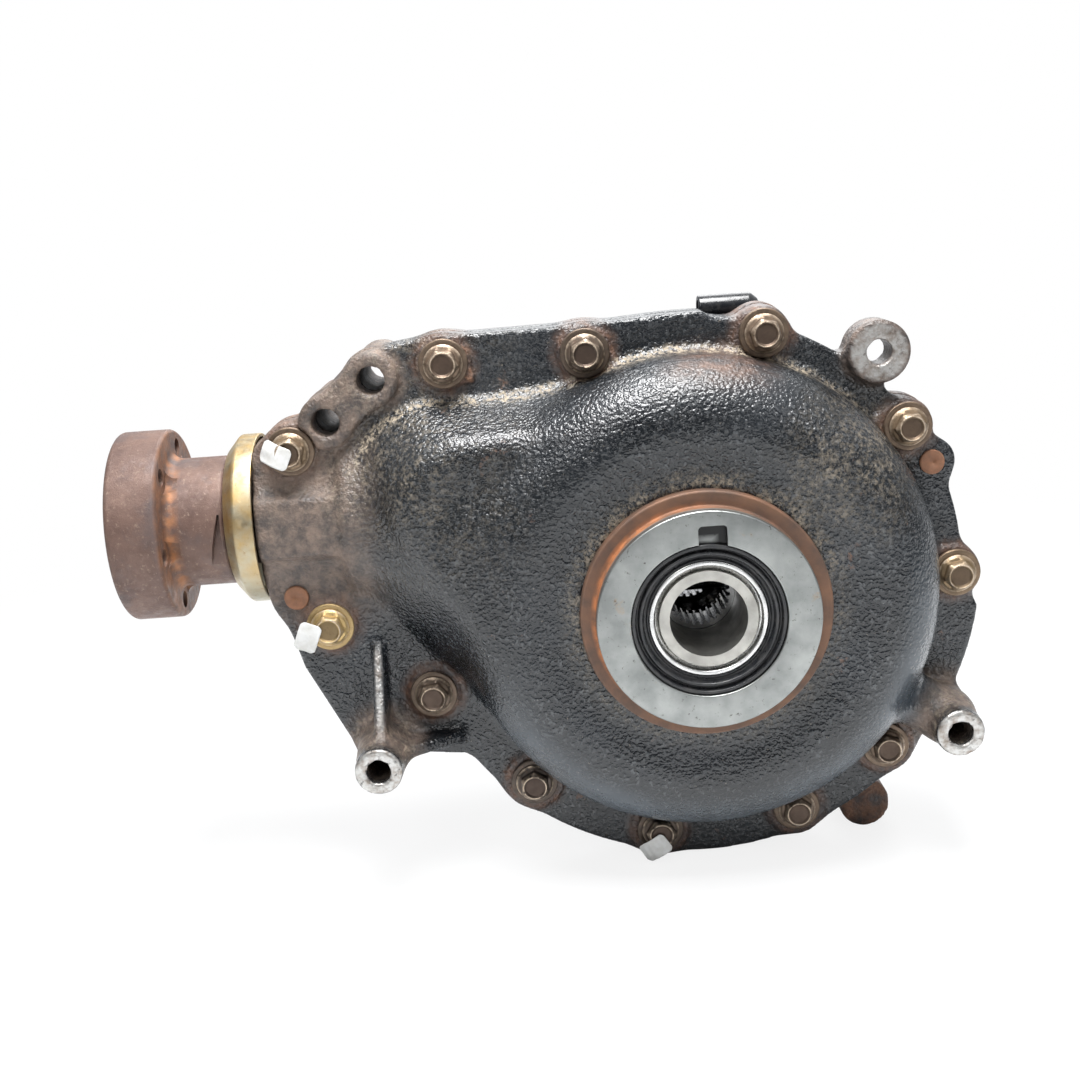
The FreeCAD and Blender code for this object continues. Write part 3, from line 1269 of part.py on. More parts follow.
def make_differential_gears():
    side = bevel_gear(int(dims.side_teeth.number), int(dims.planet_teeth.number), side_gear_body)
    side = side.cut(spline_cutter())
    planet = bevel_gear(int(dims.planet_teeth.number), int(dims.side_teeth.number), planet_body)
    bore = dims.spider_rad.number + dims.spider_slack.number
    planet = planet.cut(Part.makeCylinder(bore, dims.case_rad.number * 2))
    centre = (0, dims.spider_depth, 0)
    facing_front = Rotation(Vector(1, 0, 0), 90)
    node(feature("side_gear_front", side, *centre, facing_front), "side_gear_front")
    node(feature("side_gear_rear", side, *centre, INTO_UNIT), "side_gear_rear")
    node(feature("planet_gear_right", planet, *centre, TO_RIGHT), "planet_gear_right")
    node(feature("planet_gear_left", planet, *centre, TO_FLANGE), "planet_gear_left")


def make_case():
    """The differential case with its flange, hubs, round windows and gear cavity."""
    back = dims.case_flange_front + dims.case_flange_thickness
    wall = dims.case_front_wall
    end = dims.axle_length - dims.case_end_recess
    outer = turned("case_blank", [
        (dims.case_end_recess, dims.output_bore_rad), (dims.case_end_recess, dims.axle_bore_rad),
        (dims.front_seat, dims.axle_bore_rad), (dims.front_seat, dims.bearing_step_rad),
        (wall, dims.bearing_step_rad), (wall, dims.case_neck_rad - 1),
        (dims.case_flange_front, dims.case_neck_rad + 1), (dims.case_flange_front, dims.case_flange_rad),
        (back, dims.case_flange_rad), (back, dims.case_pilot_rad),
        (back + dims.case_pilot_length, dims.case_pilot_rad),
        (back + dims.case_pilot_length, dims.case_neck_rad),
        (back + dims.case_pilot_length + 4, dims.case_rad), (dims.case_back - 12, dims.case_rad),
        (dims.case_back, dims.case_back_rad), (dims.rear_seat - 6, dims.bearing_step_rad),
        (dims.rear_seat, dims.bearing_step_rad), (dims.rear_seat, dims.axle_bore_rad),
        (end, dims.axle_bore_rad), (end, dims.output_bore_rad),
    ])
    centre = dims.spider_depth
    sphere = place(new("Part::Sphere", "cavity_sphere", Radius=dims.case_cavity_rad), 0, centre, 0)
    cheeks = rod("cavity_cheeks", dims.case_rad, dims.side_wall * 2, 0, centre - dims.side_wall, 0)
    hub_reach = dims.side_hub_end + 0.5
    holes = [
        common("case_cavity", sphere, cheeks),
        rod("side_hub_bore", dims.side_hub_rad, hub_reach * 2, 0, centre - hub_reach, 0),
        rod("case_window", dims.window_rad, dims.case_rad * 4, 0, centre, -dims.case_rad * 2, UPRIGHT),
        rod("spider_hole", dims.spider_rad, dims.case_rad * 4, -dims.case_rad * 2, centre, 0, TO_RIGHT),
        rod("lock_pin_hole", dims.lock_pin_rad, dims.lock_pin_length + 1, lock_pin_out, wall - 1, 0),
    ]
    for index in range(int(dims.ring_bolts.number)):
        turn = 360 * index / dims.ring_bolts.number
        out = dims.ring_bolt_circle_rad * sine(turn)
        up = dims.ring_bolt_circle_rad * cosine(turn)
        length = dims.case_flange_thickness + 2
        holes.append(rod("flange_hole_%d" % index, dims.ring_bolt_rad, length, out,
                         dims.case_flange_front - 1, up))
    node(cut("differential_case", outer, holes), "differential_case")

    shaft = rod("spider_rod", dims.spider_rad, dims.case_rad * 2 - 1, dims.case_rad * -1 + 0.5,
                centre, 0, TO_RIGHT)
    cross = rod("spider_pin_hole", dims.lock_pin_rad, dims.lock_pin_length + 1, lock_pin_out, wall - 1, 0)
    node(cut("spider_shaft", shaft, cross), "spider_shaft")
    node(rod("lock_pin", dims.lock_pin_rad, dims.lock_pin_length, lock_pin_out, wall, 0), "spider_lock_pin")

    places = []
    for index in range(int(dims.ring_bolts.number)):
        turn = 360 * index / dims.ring_bolts.number
        places.append((dims.ring_bolt_circle_rad * sine(turn), dims.ring_bolt_circle_rad * cosine(turn)))
    head = new("Part::Prism", "ring_bolt_head", Circumradius=dims.ring_bolt_head_rad,
               Height=dims.ring_bolt_head_height)
    head.Polygon = 6
    place(head, 0, -dims.ring_bolt_head_height, 0, INTO_UNIT)
    shank = rod("ring_bolt_shank", dims.ring_bolt_rad, dims.ring_bolt_length + 0.5, 0, -0.5, 0)
    copies(fuse("one_ring_bolt", [head, shank]), "ring_gear_bolts", places, dims.case_flange_front)

    gap = dims.washer_gap
    thick = dims.side_washer_thickness
    front = centre - dims.side_wall
    back = centre + dims.side_wall
    hub = dims.side_hub_rad
    node(group("side_gear_washers", [
        ring("side_washer_front", front, front + thick, hub, dims.side_washer_rad),
        ring("side_washer_rear", back - thick, back, hub, dims.side_washer_rad),
    ]), "side_gear_washers")
    shells = []
    bore = rod("planet_washer_bore", dims.spider_rad, dims.case_rad * 4, -dims.case_rad * 2,
               centre, 0, TO_RIGHT)
    outer_rad = dims.planet_back_rad + gap + dims.planet_washer_thickness
    for name, start in (("right", dims.case_rad * 0.2), ("left", dims.case_rad * -1.2)):
        shell = cut("planet_shell_" + name,
                    place(new("Part::Sphere", "planet_cup_" + name, Radius=outer_rad), 0, centre, 0),
                    place(new("Part::Sphere", "planet_seat_" + name, Radius=dims.planet_back_rad + gap),
                          0, centre, 0))
        keep = rod("planet_washer_disc_" + name, dims.planet_washer_rad, dims.case_rad,
                   start, centre, 0, TO_RIGHT)
        shells.append(cut("planet_washer_" + name, common("planet_dish_" + name, shell, keep), bore))
    node(group("planet_washers", shells), "planet_washers")


lock_pin_out = (dims.case_rad + dims.case_cavity_rad) / 2


def make_pinion_line():
    """What turns with the pinion outside its teeth: flange, nut, deflector and spacer."""
    disc_hole = []
    spot_turns = [dims.disc_hole_angle + 60 * index for index in range(6)]
    floor = dims.recess_floor
    seat_start = dims.hub_start - 12
    flange = turned_about_pinion("flange_blank", [
        (dims.hub_end, dims.spline_rad), (dims.hub_end, dims.journal_rad),
        (seat_start, dims.journal_rad), (seat_start, dims.deflector_seat_rad),
        (dims.hub_start, dims.deflector_seat_rad), (dims.hub_start, dims.hub_rad - 1.5),
        (dims.hub_start + 1.5, dims.hub_rad), (dims.disc_start - 2, dims.hub_rad),
        (dims.disc_start, dims.hub_rad + 2), (dims.disc_start, dims.disc_rad - 1),
        (dims.disc_start + 1, dims.disc_rad), (dims.disc_end - 1.5, dims.disc_rad),
        (dims.disc_end, dims.disc_rad - 1.5), (dims.disc_end, dims.register_rad),
        (dims.disc_end - dims.register_depth, dims.register_rad),
        (dims.disc_end - dims.register_depth, dims.disc_recess_rad), (floor, dims.disc_recess_rad),
        (floor, dims.spline_rad),
    ])
    for index, turn in enumerate(spot_turns):
        across = dims.disc_hole_circle_rad * cosine(turn)
        up = dims.disc_hole_circle_rad * sine(turn)
        depth, height = dims.pinion_depth + across, dims.pinion_offset + up
        thick = dims.disc_end - dims.disc_start + 2
        disc_hole.append(rod("disc_hole_%d" % index, dims.disc_hole_rad, thick, -dims.disc_start + 1,
                             depth, height, TO_FLANGE))
        disc_hole.append(rod("disc_scallop_%d" % index, dims.scallop_rad, dims.scallop_depth + 3,
                             -dims.disc_start + 3, depth, height, TO_FLANGE))
    slot = block("wedge_slot", dims.wedge_slot_width, dims.wedge_slot_depth + 2, dims.hub_rad * 1.3,
                 -dims.hub_start - dims.wedge_slot_width, dims.pinion_depth - dims.hub_rad - 2,
                 dims.pinion_offset - dims.hub_rad)
    node(cut("pinion_flange", flange, disc_hole + [slot]), "pinion_flange")

    rad, wall, bevel = dims.deflector_rad, dims.deflector_wall, dims.deflector_bevel
    start, end = dims.deflector_start, dims.hub_start
    node(turned_about_pinion("dust_deflector", [
        (start, rad - wall), (start, rad), (end - bevel, rad), (end, rad - bevel),
        (end, dims.deflector_seat_rad), (end - wall, dims.deflector_seat_rad),
        (end - wall, rad - bevel - wall), (end - bevel - wall, rad - wall),
    ]), "dust_deflector")

    thick = dims.nut_washer_thickness
    corner_rad = dims.nut_across_flats / root_of(Size(3))
    nut = new("Part::Prism", "nut_hexagon", Circumradius=corner_rad, Height=dims.nut_length)
    nut.Polygon = 6
    place(nut, -floor - thick, dims.pinion_depth, dims.pinion_offset, TO_FLANGE)
    bore = rod("nut_bore", dims.stud_rad, 60, -floor + 1, dims.pinion_depth, dims.pinion_offset, TO_FLANGE)
    node(cut("pinion_nut", nut, bore), "pinion_nut")
    node(ring("pinion_nut_washer", floor, floor + thick, dims.stud_rad, dims.nut_washer_rad,
              ALONG_PINION, pinion_line), "pinion_nut_washer")

    first = dims.head_seat + dims.head_width * dims.inner_share
    last = dims.hub_end - dims.tail_width * dims.inner_share
    mid = (first + last) / 2
    inner = dims.head_bore_rad + dims.sleeve_slack
    outer = dims.sleeve_rad
    node(turned_about_pinion("crush_sleeve", [
        (first, inner), (last, inner), (last, outer), (mid + 8, outer), (mid, outer + dims.sleeve_waist),
        (mid - 8, outer), (first, outer),
    ]), "crush_sleeve")


def write_parts():
    """Check every object and every piece, then write one file for each piece."""
    doc.recompute()
    faults = ["%s is %s" % (thing.Name, thing.State) for thing in doc.Objects
              if "Invalid" in thing.State or "Error" in thing.State]
    for piece in nodes:
        shape = piece.Shape
        if shape.isNull() or not shape.isValid() or not shape.Solids:
            faults.append(piece.Label + " has no sound solid")
    if faults:
        raise RuntimeError("; ".join(faults))
    os.makedirs("parts", exist_ok=True)
    for piece in nodes:
        piece.Shape.exportStep("parts/%s.step" % piece.Label)
        print("%-24s %2d solids %9.0f mm3" % (piece.Label, len(piece.Shape.Solids), piece.Shape.Volume))


make_cover()
make_housing()
make_plugs()
make_joint_fasteners()
make_breather()
make_bearings()
make_seals()
make_pinion()
make_ring_gear()
make_differential_gears()
make_case()
make_pinion_line()
write_parts()
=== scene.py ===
import json
import math

import bpy
import numpy as np
from mathutils import Matrix, Vector


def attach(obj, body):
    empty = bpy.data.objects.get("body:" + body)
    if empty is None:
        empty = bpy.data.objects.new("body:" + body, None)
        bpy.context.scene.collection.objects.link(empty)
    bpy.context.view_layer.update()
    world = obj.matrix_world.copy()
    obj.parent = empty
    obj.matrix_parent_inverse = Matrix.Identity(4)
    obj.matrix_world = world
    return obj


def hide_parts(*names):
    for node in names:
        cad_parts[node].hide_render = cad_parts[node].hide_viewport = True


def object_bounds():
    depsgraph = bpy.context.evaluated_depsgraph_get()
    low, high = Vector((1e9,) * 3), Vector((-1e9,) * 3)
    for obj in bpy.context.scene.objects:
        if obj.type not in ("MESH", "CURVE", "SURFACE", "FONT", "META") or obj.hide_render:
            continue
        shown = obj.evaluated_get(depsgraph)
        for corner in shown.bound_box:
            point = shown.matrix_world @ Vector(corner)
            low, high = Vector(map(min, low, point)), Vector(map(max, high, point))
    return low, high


# A used front differential: black painted castings, a rusty input flange and a bright turned pilot.
# Dictionaries give millimetres in the frame's own axes; meshes are made in metres.
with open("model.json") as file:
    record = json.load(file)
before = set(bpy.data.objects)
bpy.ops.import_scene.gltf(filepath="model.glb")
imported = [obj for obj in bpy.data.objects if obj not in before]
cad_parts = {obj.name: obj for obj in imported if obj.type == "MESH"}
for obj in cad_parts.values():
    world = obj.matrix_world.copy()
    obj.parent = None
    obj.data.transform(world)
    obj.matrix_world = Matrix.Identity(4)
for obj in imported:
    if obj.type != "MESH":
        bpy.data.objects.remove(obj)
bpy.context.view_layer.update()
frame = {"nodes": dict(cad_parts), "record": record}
mm = 0.001
print("frame loaded:", len(frame["nodes"]), "nodes")


def mountSpot(name):
    found = [mount for mount in frame["record"]["mounts"] if mount["name"] == name][0]
    return [value / mm for value in found["pos_m"]]


# Places shared by both castings, out along X and up along Z.
layout = {
    "boltCircle": 127.0,
    "circleBolts": (-132.0, -100.5, -68.7, -43.8, -0.3, 35.1, 73.1, 111.7),  # degrees
    "noseBolts": ((-188.8, 81.4), (-178.8, -6.0), (-131.4, -44.3)),
    "cornerBolt": (-113.2, 117.7),
    "padFront": 54.5,
    "joint": 68.0,
    "dowels": ((-194.0, 9.0), (116.0, 54.3)),
    "pinionDepth": 86.0,
    "pinionUp": 44.0,
}
bolts = list(layout["noseBolts"])
for degrees in layout["circleBolts"]:
    turn = math.radians(degrees)
    bolts.append((layout["boltCircle"] * math.cos(turn), layout["boltCircle"] * math.sin(turn)))
bolts.append(layout["cornerBolt"])
circleIndices = range(len(layout["noseBolts"]), len(bolts) - 1)
earA, earB, earC = mountSpot("ear_a"), mountSpot("ear_b"), mountSpot("ear_c")
postLeft, postRight = mountSpot("post_left"), mountSpot("post_right")
ears = (earA[::2], earB[::2])
posts = (postLeft[::2], postRight[::2])
# lines that pieces are turned about: a place on the line, its direction and one across it
axle = ((0, 0, 0), (0, 1, 0), (1, 0, 0))
pinionLine = ((0, layout["pinionDepth"], layout["pinionUp"]), (-1, 0, 0), (0, 1, 0))


# Distance fields. Each takes arrays x, y, z and gives the distance to a form, negative inside it.

def smoothUnion(first, second, blend):
    # the nearer of two distances, lowered where they are alike, which leaves a cast fillet
    share = np.clip(0.5 + 0.5 * (second - first) / blend, 0, 1)
    return second * (1 - share) + first * share - blend * share * (1 - share)


def smoothCut(body, tool, blend):
    # the body with the tool taken away, and a rounded edge between them
    return -smoothUnion(-body, tool, blend)


def roundRod(across, y, start, end, edge):
    # across is the distance to the outline in plan; both ends of the rod get a round edge
    side = across + edge
    cap = np.abs(y - (start + end) / 2) - (end - start) / 2 + edge
    outside = np.hypot(np.maximum(side, 0), np.maximum(cap, 0))
    return outside + np.minimum(np.maximum(side, cap), 0) - edge


def raised(form, x, y, z, spots, radius, start, end, blend):
    # rods along Y, each joined to the form by a fillet
    for out, up in spots:
        rod = roundRod(np.hypot(x - out, z - up) - radius, y, start, end, 1.0)
        form = smoothUnion(form, rod, blend)
    return form


def drilled(form, x, z, spots, radius):
    # holes along Y right through the form
    for out, up in spots:
        form = np.maximum(form, radius - np.hypot(x - out, z - up))
    return form


def polygonField(u, v, corners, rounding=0.0):
    # least distance to the edges, with the sign from a count of crossings
    corners = np.array(corners, float)
    nearest = np.full(np.broadcast(u, v).shape, 1e9)
    inside = np.zeros(nearest.shape, bool)
    for (u0, v0), (u1, v1) in zip(corners, np.roll(corners, -1, 0)):
        du, dv = u1 - u0, v1 - v0
        along = np.clip(((u - u0) * du + (v - v0) * dv) / (du * du + dv * dv), 0, 1)
        nearest = np.minimum(nearest, np.hypot(u - u0 - along * du, v - v0 - along * dv))
        if dv:
            crossing = ((v0 <= v) != (v1 <= v)) & (u < u0 + (v - v0) * du / dv)
            inside = inside ^ crossing
    return np.where(inside, -nearest, nearest) - rounding


def teardropField(x, z, bigRad, noseX, noseZ, noseRad):
    # two circles and their outer tangents: fold the plane along the line of centres
    reach = np.hypot(noseX, noseZ)
    along = (x * noseX + z * noseZ) / reach
    across = np.abs(x * noseZ - z * noseX) / reach
    lean = (bigRad - noseRad) / reach
    rise = np.sqrt(np.maximum(1 - lean * lean, 0))
    edge = along * rise - across * lean
    side = along * lean + across * rise - bigRad
    nose = np.hypot(across, along - reach) - noseRad
    big = np.hypot(across, along) - bigRad
    return np.where(edge < 0, big, np.where(edge > reach * rise, nose, side))


def fin(u, v, w, corners, thickness):
    # a flat outline in (u, v) given a thickness across w, with round edges
    return roundRod(polygonField(u, v, corners), w, -thickness / 2, thickness / 2, 2.0)


def capsuleField(spots, start, end, radius, grow=0.0):
    # distance to the line from start to end, less a radius that grows along it; in plan or in space
    run = [last - first for first, last in zip(start, end)]
    offsets = [spot - first for spot, first in zip(spots, start)]
    share = sum(offset * part for offset, part in zip(offsets, run)) / sum(part * part for part in run)
    share = np.clip(share, 0, 1)
    away = sum((offset - share * part) ** 2 for offset, part in zip(offsets, run))
    return np.sqrt(away) - radius - grow * share


flange = {
    "rim": 131.0, "lowerRim": 140.0, "lowerStart": -152.0, "lowerEnd": -2.0, "softEnd": 6.0,
    "lobe": 12.45, "lowerLobe": 15.1, "lowerBolts": (3, 4, 5, 6), "dowelLobe": 11.5, "blend": 7.0,
    "noseRound": 1.0,
    "nose": ((8, 131), (-119, 129), (-141, 126), (-157, 120), (-184, 94), (-199, 87), (-207, 80),
             (-207, 17), (-197, -12), (-193, -27), (-171, -72), (-121, -77), (-60, -60), (0, -40)),
}


def flangeOutline(x, z):
    # the rim and its lobes run into the plate of the nose
    s = flange
    turn = np.degrees(np.arctan2(z, x))
    lower = np.clip(np.minimum(turn - s["lowerStart"], s["lowerEnd"] - turn) / s["softEnd"], 0, 1)
    outline = np.hypot(x, z) - s["rim"] - (s["lowerRim"] - s["rim"]) * lower
    outline = smoothUnion(outline, polygonField(x, z, s["nose"], s["noseRound"]), s["blend"])
    for index, (out, up) in enumerate(bolts):
        lobe = s["lowerLobe"] if index in s["lowerBolts"] else s["lobe"]
        outline = smoothUnion(outline, np.hypot(x - out, z - up) - lobe, s["blend"])
    for out, up in layout["dowels"]:
        outline = smoothUnion(outline, np.hypot(x - out, z - up) - s["dowelLobe"], s["blend"])
    return outline


cover = {
    "plateFront": 56.6, "joint": 67.9, "plateEdge": 1.6, "padEdge": 0.9, "padHigh": 54.5, "padRad": 13.0,
    "padFrom": 108.0, "padBlend": 1.5, "plateau": 11.0,
    "cornerPad": ((0.0, -10.0), (14.5, -10.0), (8.5, 12.0), (0.0, 12.0)),  # from the corner bolt
    "crestRad": 84.0, "crestDepth": 44.0, "tube": 31.0, "valley": 15.5, "skirtRad": 115.0,
    # each slope has a top and a foot: depth, radius about the axle, nose centre out and up, nose radius
    "ramp": ((20.0, 90.0, -86.0, 24.0, 30.0), (57.0, 115.0, -148.0, 46.0, 33.0)),
    "brow": ((23.5, 88.0, -102.0, 50.0, 34.0), (57.0, 102.0, -122.0, 60.0, 41.0)),
    "rampEdge": 7.0, "rampBlend": 7.0, "footBlend": 4.0,
    "barrelRad": 37.5, "barrelStep": 45.0, "barrelFrom": -207.5, "stepAt": -168.0, "barrelTo": -110.0,
    "blockHigh": (31.5, 59.5), "blockFront": 46.8, "blockTo": -168.0,
    "earFront": 51.2, "earRad": 12.8, "earCRad": 14.8, "earCFront": 50.2,
    "postRad": 11.3, "postFoot": 13.5, "postFront": 18.2, "postBlend": 5.0, "finThick": 6.0,
    # the left post's two ribs, as depth and rise above the post, or reach to its right
    "postRib": ((60, 54), (52, 50), (26, 6), (26, 0), (60, 0)),
    "postSideRib": ((60, 0), (30, 0), (30, 6), (52, 38), (60, 42)),
    "armDepth": 42.0, "armEnd": (84.0, 46.0, -50.0), "armRad": 12.0, "armGrow": 3.0,
    "boltHole": 4.6, "earHole": 6.75, "threadHole": 5.9, "threadEnd": 49.0, "spotFace": 12.4,
    "pilotRoom": 57.4, "pilotFloor": 16.4, "sealBore": 35.5, "boss": 45.0, "bossEnd": 33.0,
    "wall": 5.6,
    # stepped bores about the pinion's line: the head's room, the bearings' and the seal's
    "pinionRoom": ((-43, -1), (-43, 45), (-95, 45), (-95, 36), (-119.3, 36), (-119.3, 28), (-167.7, 28),
                   (-167.7, 31), (-196, 31), (-196, 31.5), (-209, 31.5), (-209, -1)),
}


def domeField(x, y, z):
    # a torus with a flat valley inside it, and a ramp whose teardrop outline widens with depth
    s = cover
    radius = np.hypot(x, z)
    torus = np.hypot(radius - s["crestRad"], y - s["crestDepth"]) - s["tube"]
    core = roundRod(radius - s["crestRad"], y, s["valley"], s["joint"], 1.0)
    skirt = roundRod(radius - s["skirtRad"], y, s["crestDepth"], s["joint"], 1.0)
    form = np.minimum(smoothUnion(torus, core, 3.0), skirt)
    for top, foot in (s["ramp"], s["brow"]):
        depth = np.clip((y - top[0]) / (foot[0] - top[0]), 0, 1)
        big, out, up, nose = [first + depth * (last - first) for first, last in zip(top[1:], foot[1:])]
        slope = smoothCut(teardropField(x, z, big, out, up, nose) * 0.75, y - top[0], s["rampEdge"])
        form = smoothUnion(form, np.maximum(slope, y - s["joint"]), s["rampBlend"])
    return form


def padAcross(x, z, index):
    # in plan a pad is a disc about its bolt; on the circle a strip joins it that runs in to the dome
    s = cover
    out, up = bolts[index]
    radius = flange["lowerLobe"] if index in flange["lowerBolts"] else s["padRad"]
    disc = np.hypot(x - out, z - up) - radius
    if index in circleIndices:
        reach = np.hypot(out, up)
        along = (x * out + z * up) / reach
        side = np.abs(x * up - z * out) / reach - s["padRad"]
        strip = np.maximum(side, np.maximum(s["padFrom"] - along, along - reach))
        return np.minimum(disc, strip)
    if (out, up) == layout["cornerBolt"]:
        return np.minimum(disc, polygonField(x - out, z - up, s["cornerPad"]))
    return disc


def coverForm(x, y, z):
    # the dome, the plate with its pads, the pinion's barrel and the block on the nose
    s = cover
    form = domeField(x, y, z)
    outline = flangeOutline(x, z)
    plate = roundRod(outline, y, s["plateFront"], s["joint"], s["plateEdge"])
    form = smoothUnion(form, plate, s["footBlend"])
    for index in range(len(bolts)):
        across = np.maximum(padAcross(x, z, index), outline + 0.3)
        form = smoothUnion(form, roundRod(across, y, s["padHigh"], s["joint"], s["padEdge"]), s["padBlend"])
    fromPinion = np.hypot(y - layout["pinionDepth"], z - layout["pinionUp"])
    barrel = roundRod(fromPinion - s["barrelRad"], x, s["barrelFrom"], s["barrelTo"], 2.0)
    hip = roundRod(fromPinion - s["barrelStep"], x, s["stepAt"], s["barrelTo"], 5.0)
    form = smoothUnion(form, np.maximum(smoothUnion(barrel, hip, 5.0), y - s["joint"]), 6.0)
    low, high = s["blockHigh"]
    tall = np.abs(z - (low + high) / 2) - (high - low) / 2
    block = roundRod(np.maximum(tall, y - s["joint"]), x, s["barrelFrom"], s["blockTo"], 2.0)
    block = smoothCut(block, y - s["blockFront"], 3.0)
    return smoothUnion(form, block, 6.0)


def coverLugs(x, y, z, form):
    # ears, posts with their ribs and the thick arm, each joined to the form by a fillet
    s = cover
    form = raised(form, x, y, z, ears, s["earRad"], s["earFront"], s["joint"], 2.5)
    # the two ears stand on one shared ledge
    ledge = capsuleField((x, z), ears[1], ears[0], s["plateau"])
    form = smoothUnion(form, roundRod(ledge, y, s["earFront"] + 0.3, s["joint"], 1.5), 2.0)
    form = raised(form, x, y, z, [earC[::2]], s["earCRad"], s["earCFront"], s["joint"], 6.0)
    for out, up in posts:
        slope = np.clip((y - s["postFront"]) / (s["plateFront"] - s["postFront"]), 0, 1)
        taper = np.hypot(x - out, z - up) - s["postRad"] - slope * (s["postFoot"] - s["postRad"])
        form = smoothUnion(form, roundRod(taper, y, s["postFront"], s["joint"], 0.8), s["postBlend"])
    right, rise = x - postLeft[0], z - postLeft[2]
    form = smoothUnion(form, fin(y, rise, right - 1, s["postRib"], s["finThick"]), 4.0)
    form = smoothUnion(form, fin(y, right, rise - 1.5, s["postSideRib"], s["finThick"]), 5.0)
    # the right post leans on a thick arm that grows out of the dome
    start = (postRight[0], s["armDepth"], postRight[2])
    return smoothUnion(form, capsuleField((x, y, z), start, s["armEnd"], s["armRad"], s["armGrow"]), 6.0)


def pinionRoom(x, y, z):
    # the stepped outline turned about the pinion's line
    fromPinion = np.hypot(y - layout["pinionDepth"], z - layout["pinionUp"])
    return polygonField(x, fromPinion, cover["pinionRoom"])


def coverField(x, y, z):
    # the whole cover: its form and lugs, less the room inside, the bores and the bolt holes
    s = cover
    form = coverLugs(x, y, z, coverForm(x, y, z))
    radius = np.hypot(x, z)
    room = np.hypot(radius - s["crestRad"], y - s["crestDepth"]) - s["tube"] + s["wall"]
    room = np.minimum(room, np.maximum(radius - s["crestRad"], s["valley"] + s["wall"] - y))
    room = np.minimum(room, np.maximum(radius - s["skirtRad"] + s["wall"], s["crestDepth"] - y))
    room = np.maximum(room, -np.maximum(radius - s["boss"], y - s["bossEnd"]))
    form = np.maximum(form, -np.minimum(room, pinionRoom(x, y, z)))
    form = np.maximum(form, -(np.maximum(radius - s["pilotRoom"], y - s["pilotFloor"])))
    form = np.maximum(form, s["sealBore"] + 2 * (y > s["valley"]) - radius)
    for out, up in bolts:
        away = np.hypot(x - out, z - up)
        form = np.maximum(form, s["boltHole"] - away)
        form = smoothCut(form, np.maximum(away - s["spotFace"], y - s["padHigh"]), 1.0)
    form = drilled(form, x, z, ears, s["earHole"])
    form = drilled(form, x, z, [earC[::2]], s["threadHole"])
    for out, up in posts:
        hole = np.maximum(np.hypot(x - out, z - up) - s["threadHole"], y - s["threadEnd"])
        form = np.maximum(form, -hole)
    return np.maximum(form, y - s["joint"])


housing = {
    "plateFront": 68.1, "plateBack": 80.0, "plateBlend": 7.0, "lobeBack": 83.0,
    "boreRad": 37.5, "sealBore": 35.5,
    "bowl": ((68, -5), (68, 115), (86, 115), (112, 98), (130, 72), (138, 47), (175.9, 47), (175.9, -5)),
    "room": ((60, -5), (60, 109.4), (83, 109.4), (108, 92), (123.7, 67), (131, 45), (131, -5)),
    "ribs": 5, "ribFirst": -126.0, "ribThick": 7.0,
    "rib": ((79, 60), (79, 123), (86, 123), (152, 45), (138, 40)),
    "earFrom": 70.0, "earEnd": 121.0, "earRad": 12.8, "lug": (85.6, -128.1), "lugRad": 12.8,
    "lugFront": 74.0, "lugEnd": 104.0, "boltHole": 4.2, "sealFrom": 159.5,
    # about the pinion's line: radius, start, end, round edge and blend of each step
    "steps": ((38.5, -207.5, -36.0, 2.0, 5.0), (45.5, -168.0, -36.0, 5.0, 6.0),
              (50.5, -114.0, -38.0, 8.0, 9.0)),
    "plugs": ((52.0, -50.0), (0.0, -84.0)), "plugFrom": 80.0, "plugSeat": 134.9, "plugBoss": 14.0,
    "plugHole": 9.0,
    "breather": (20.0, 91.0), "breatherBoss": 9.6, "breatherFrom": 90.0, "breatherTo": 119.6,
    "breatherHole": 5.2, "breatherHoleFrom": 80.0,
}


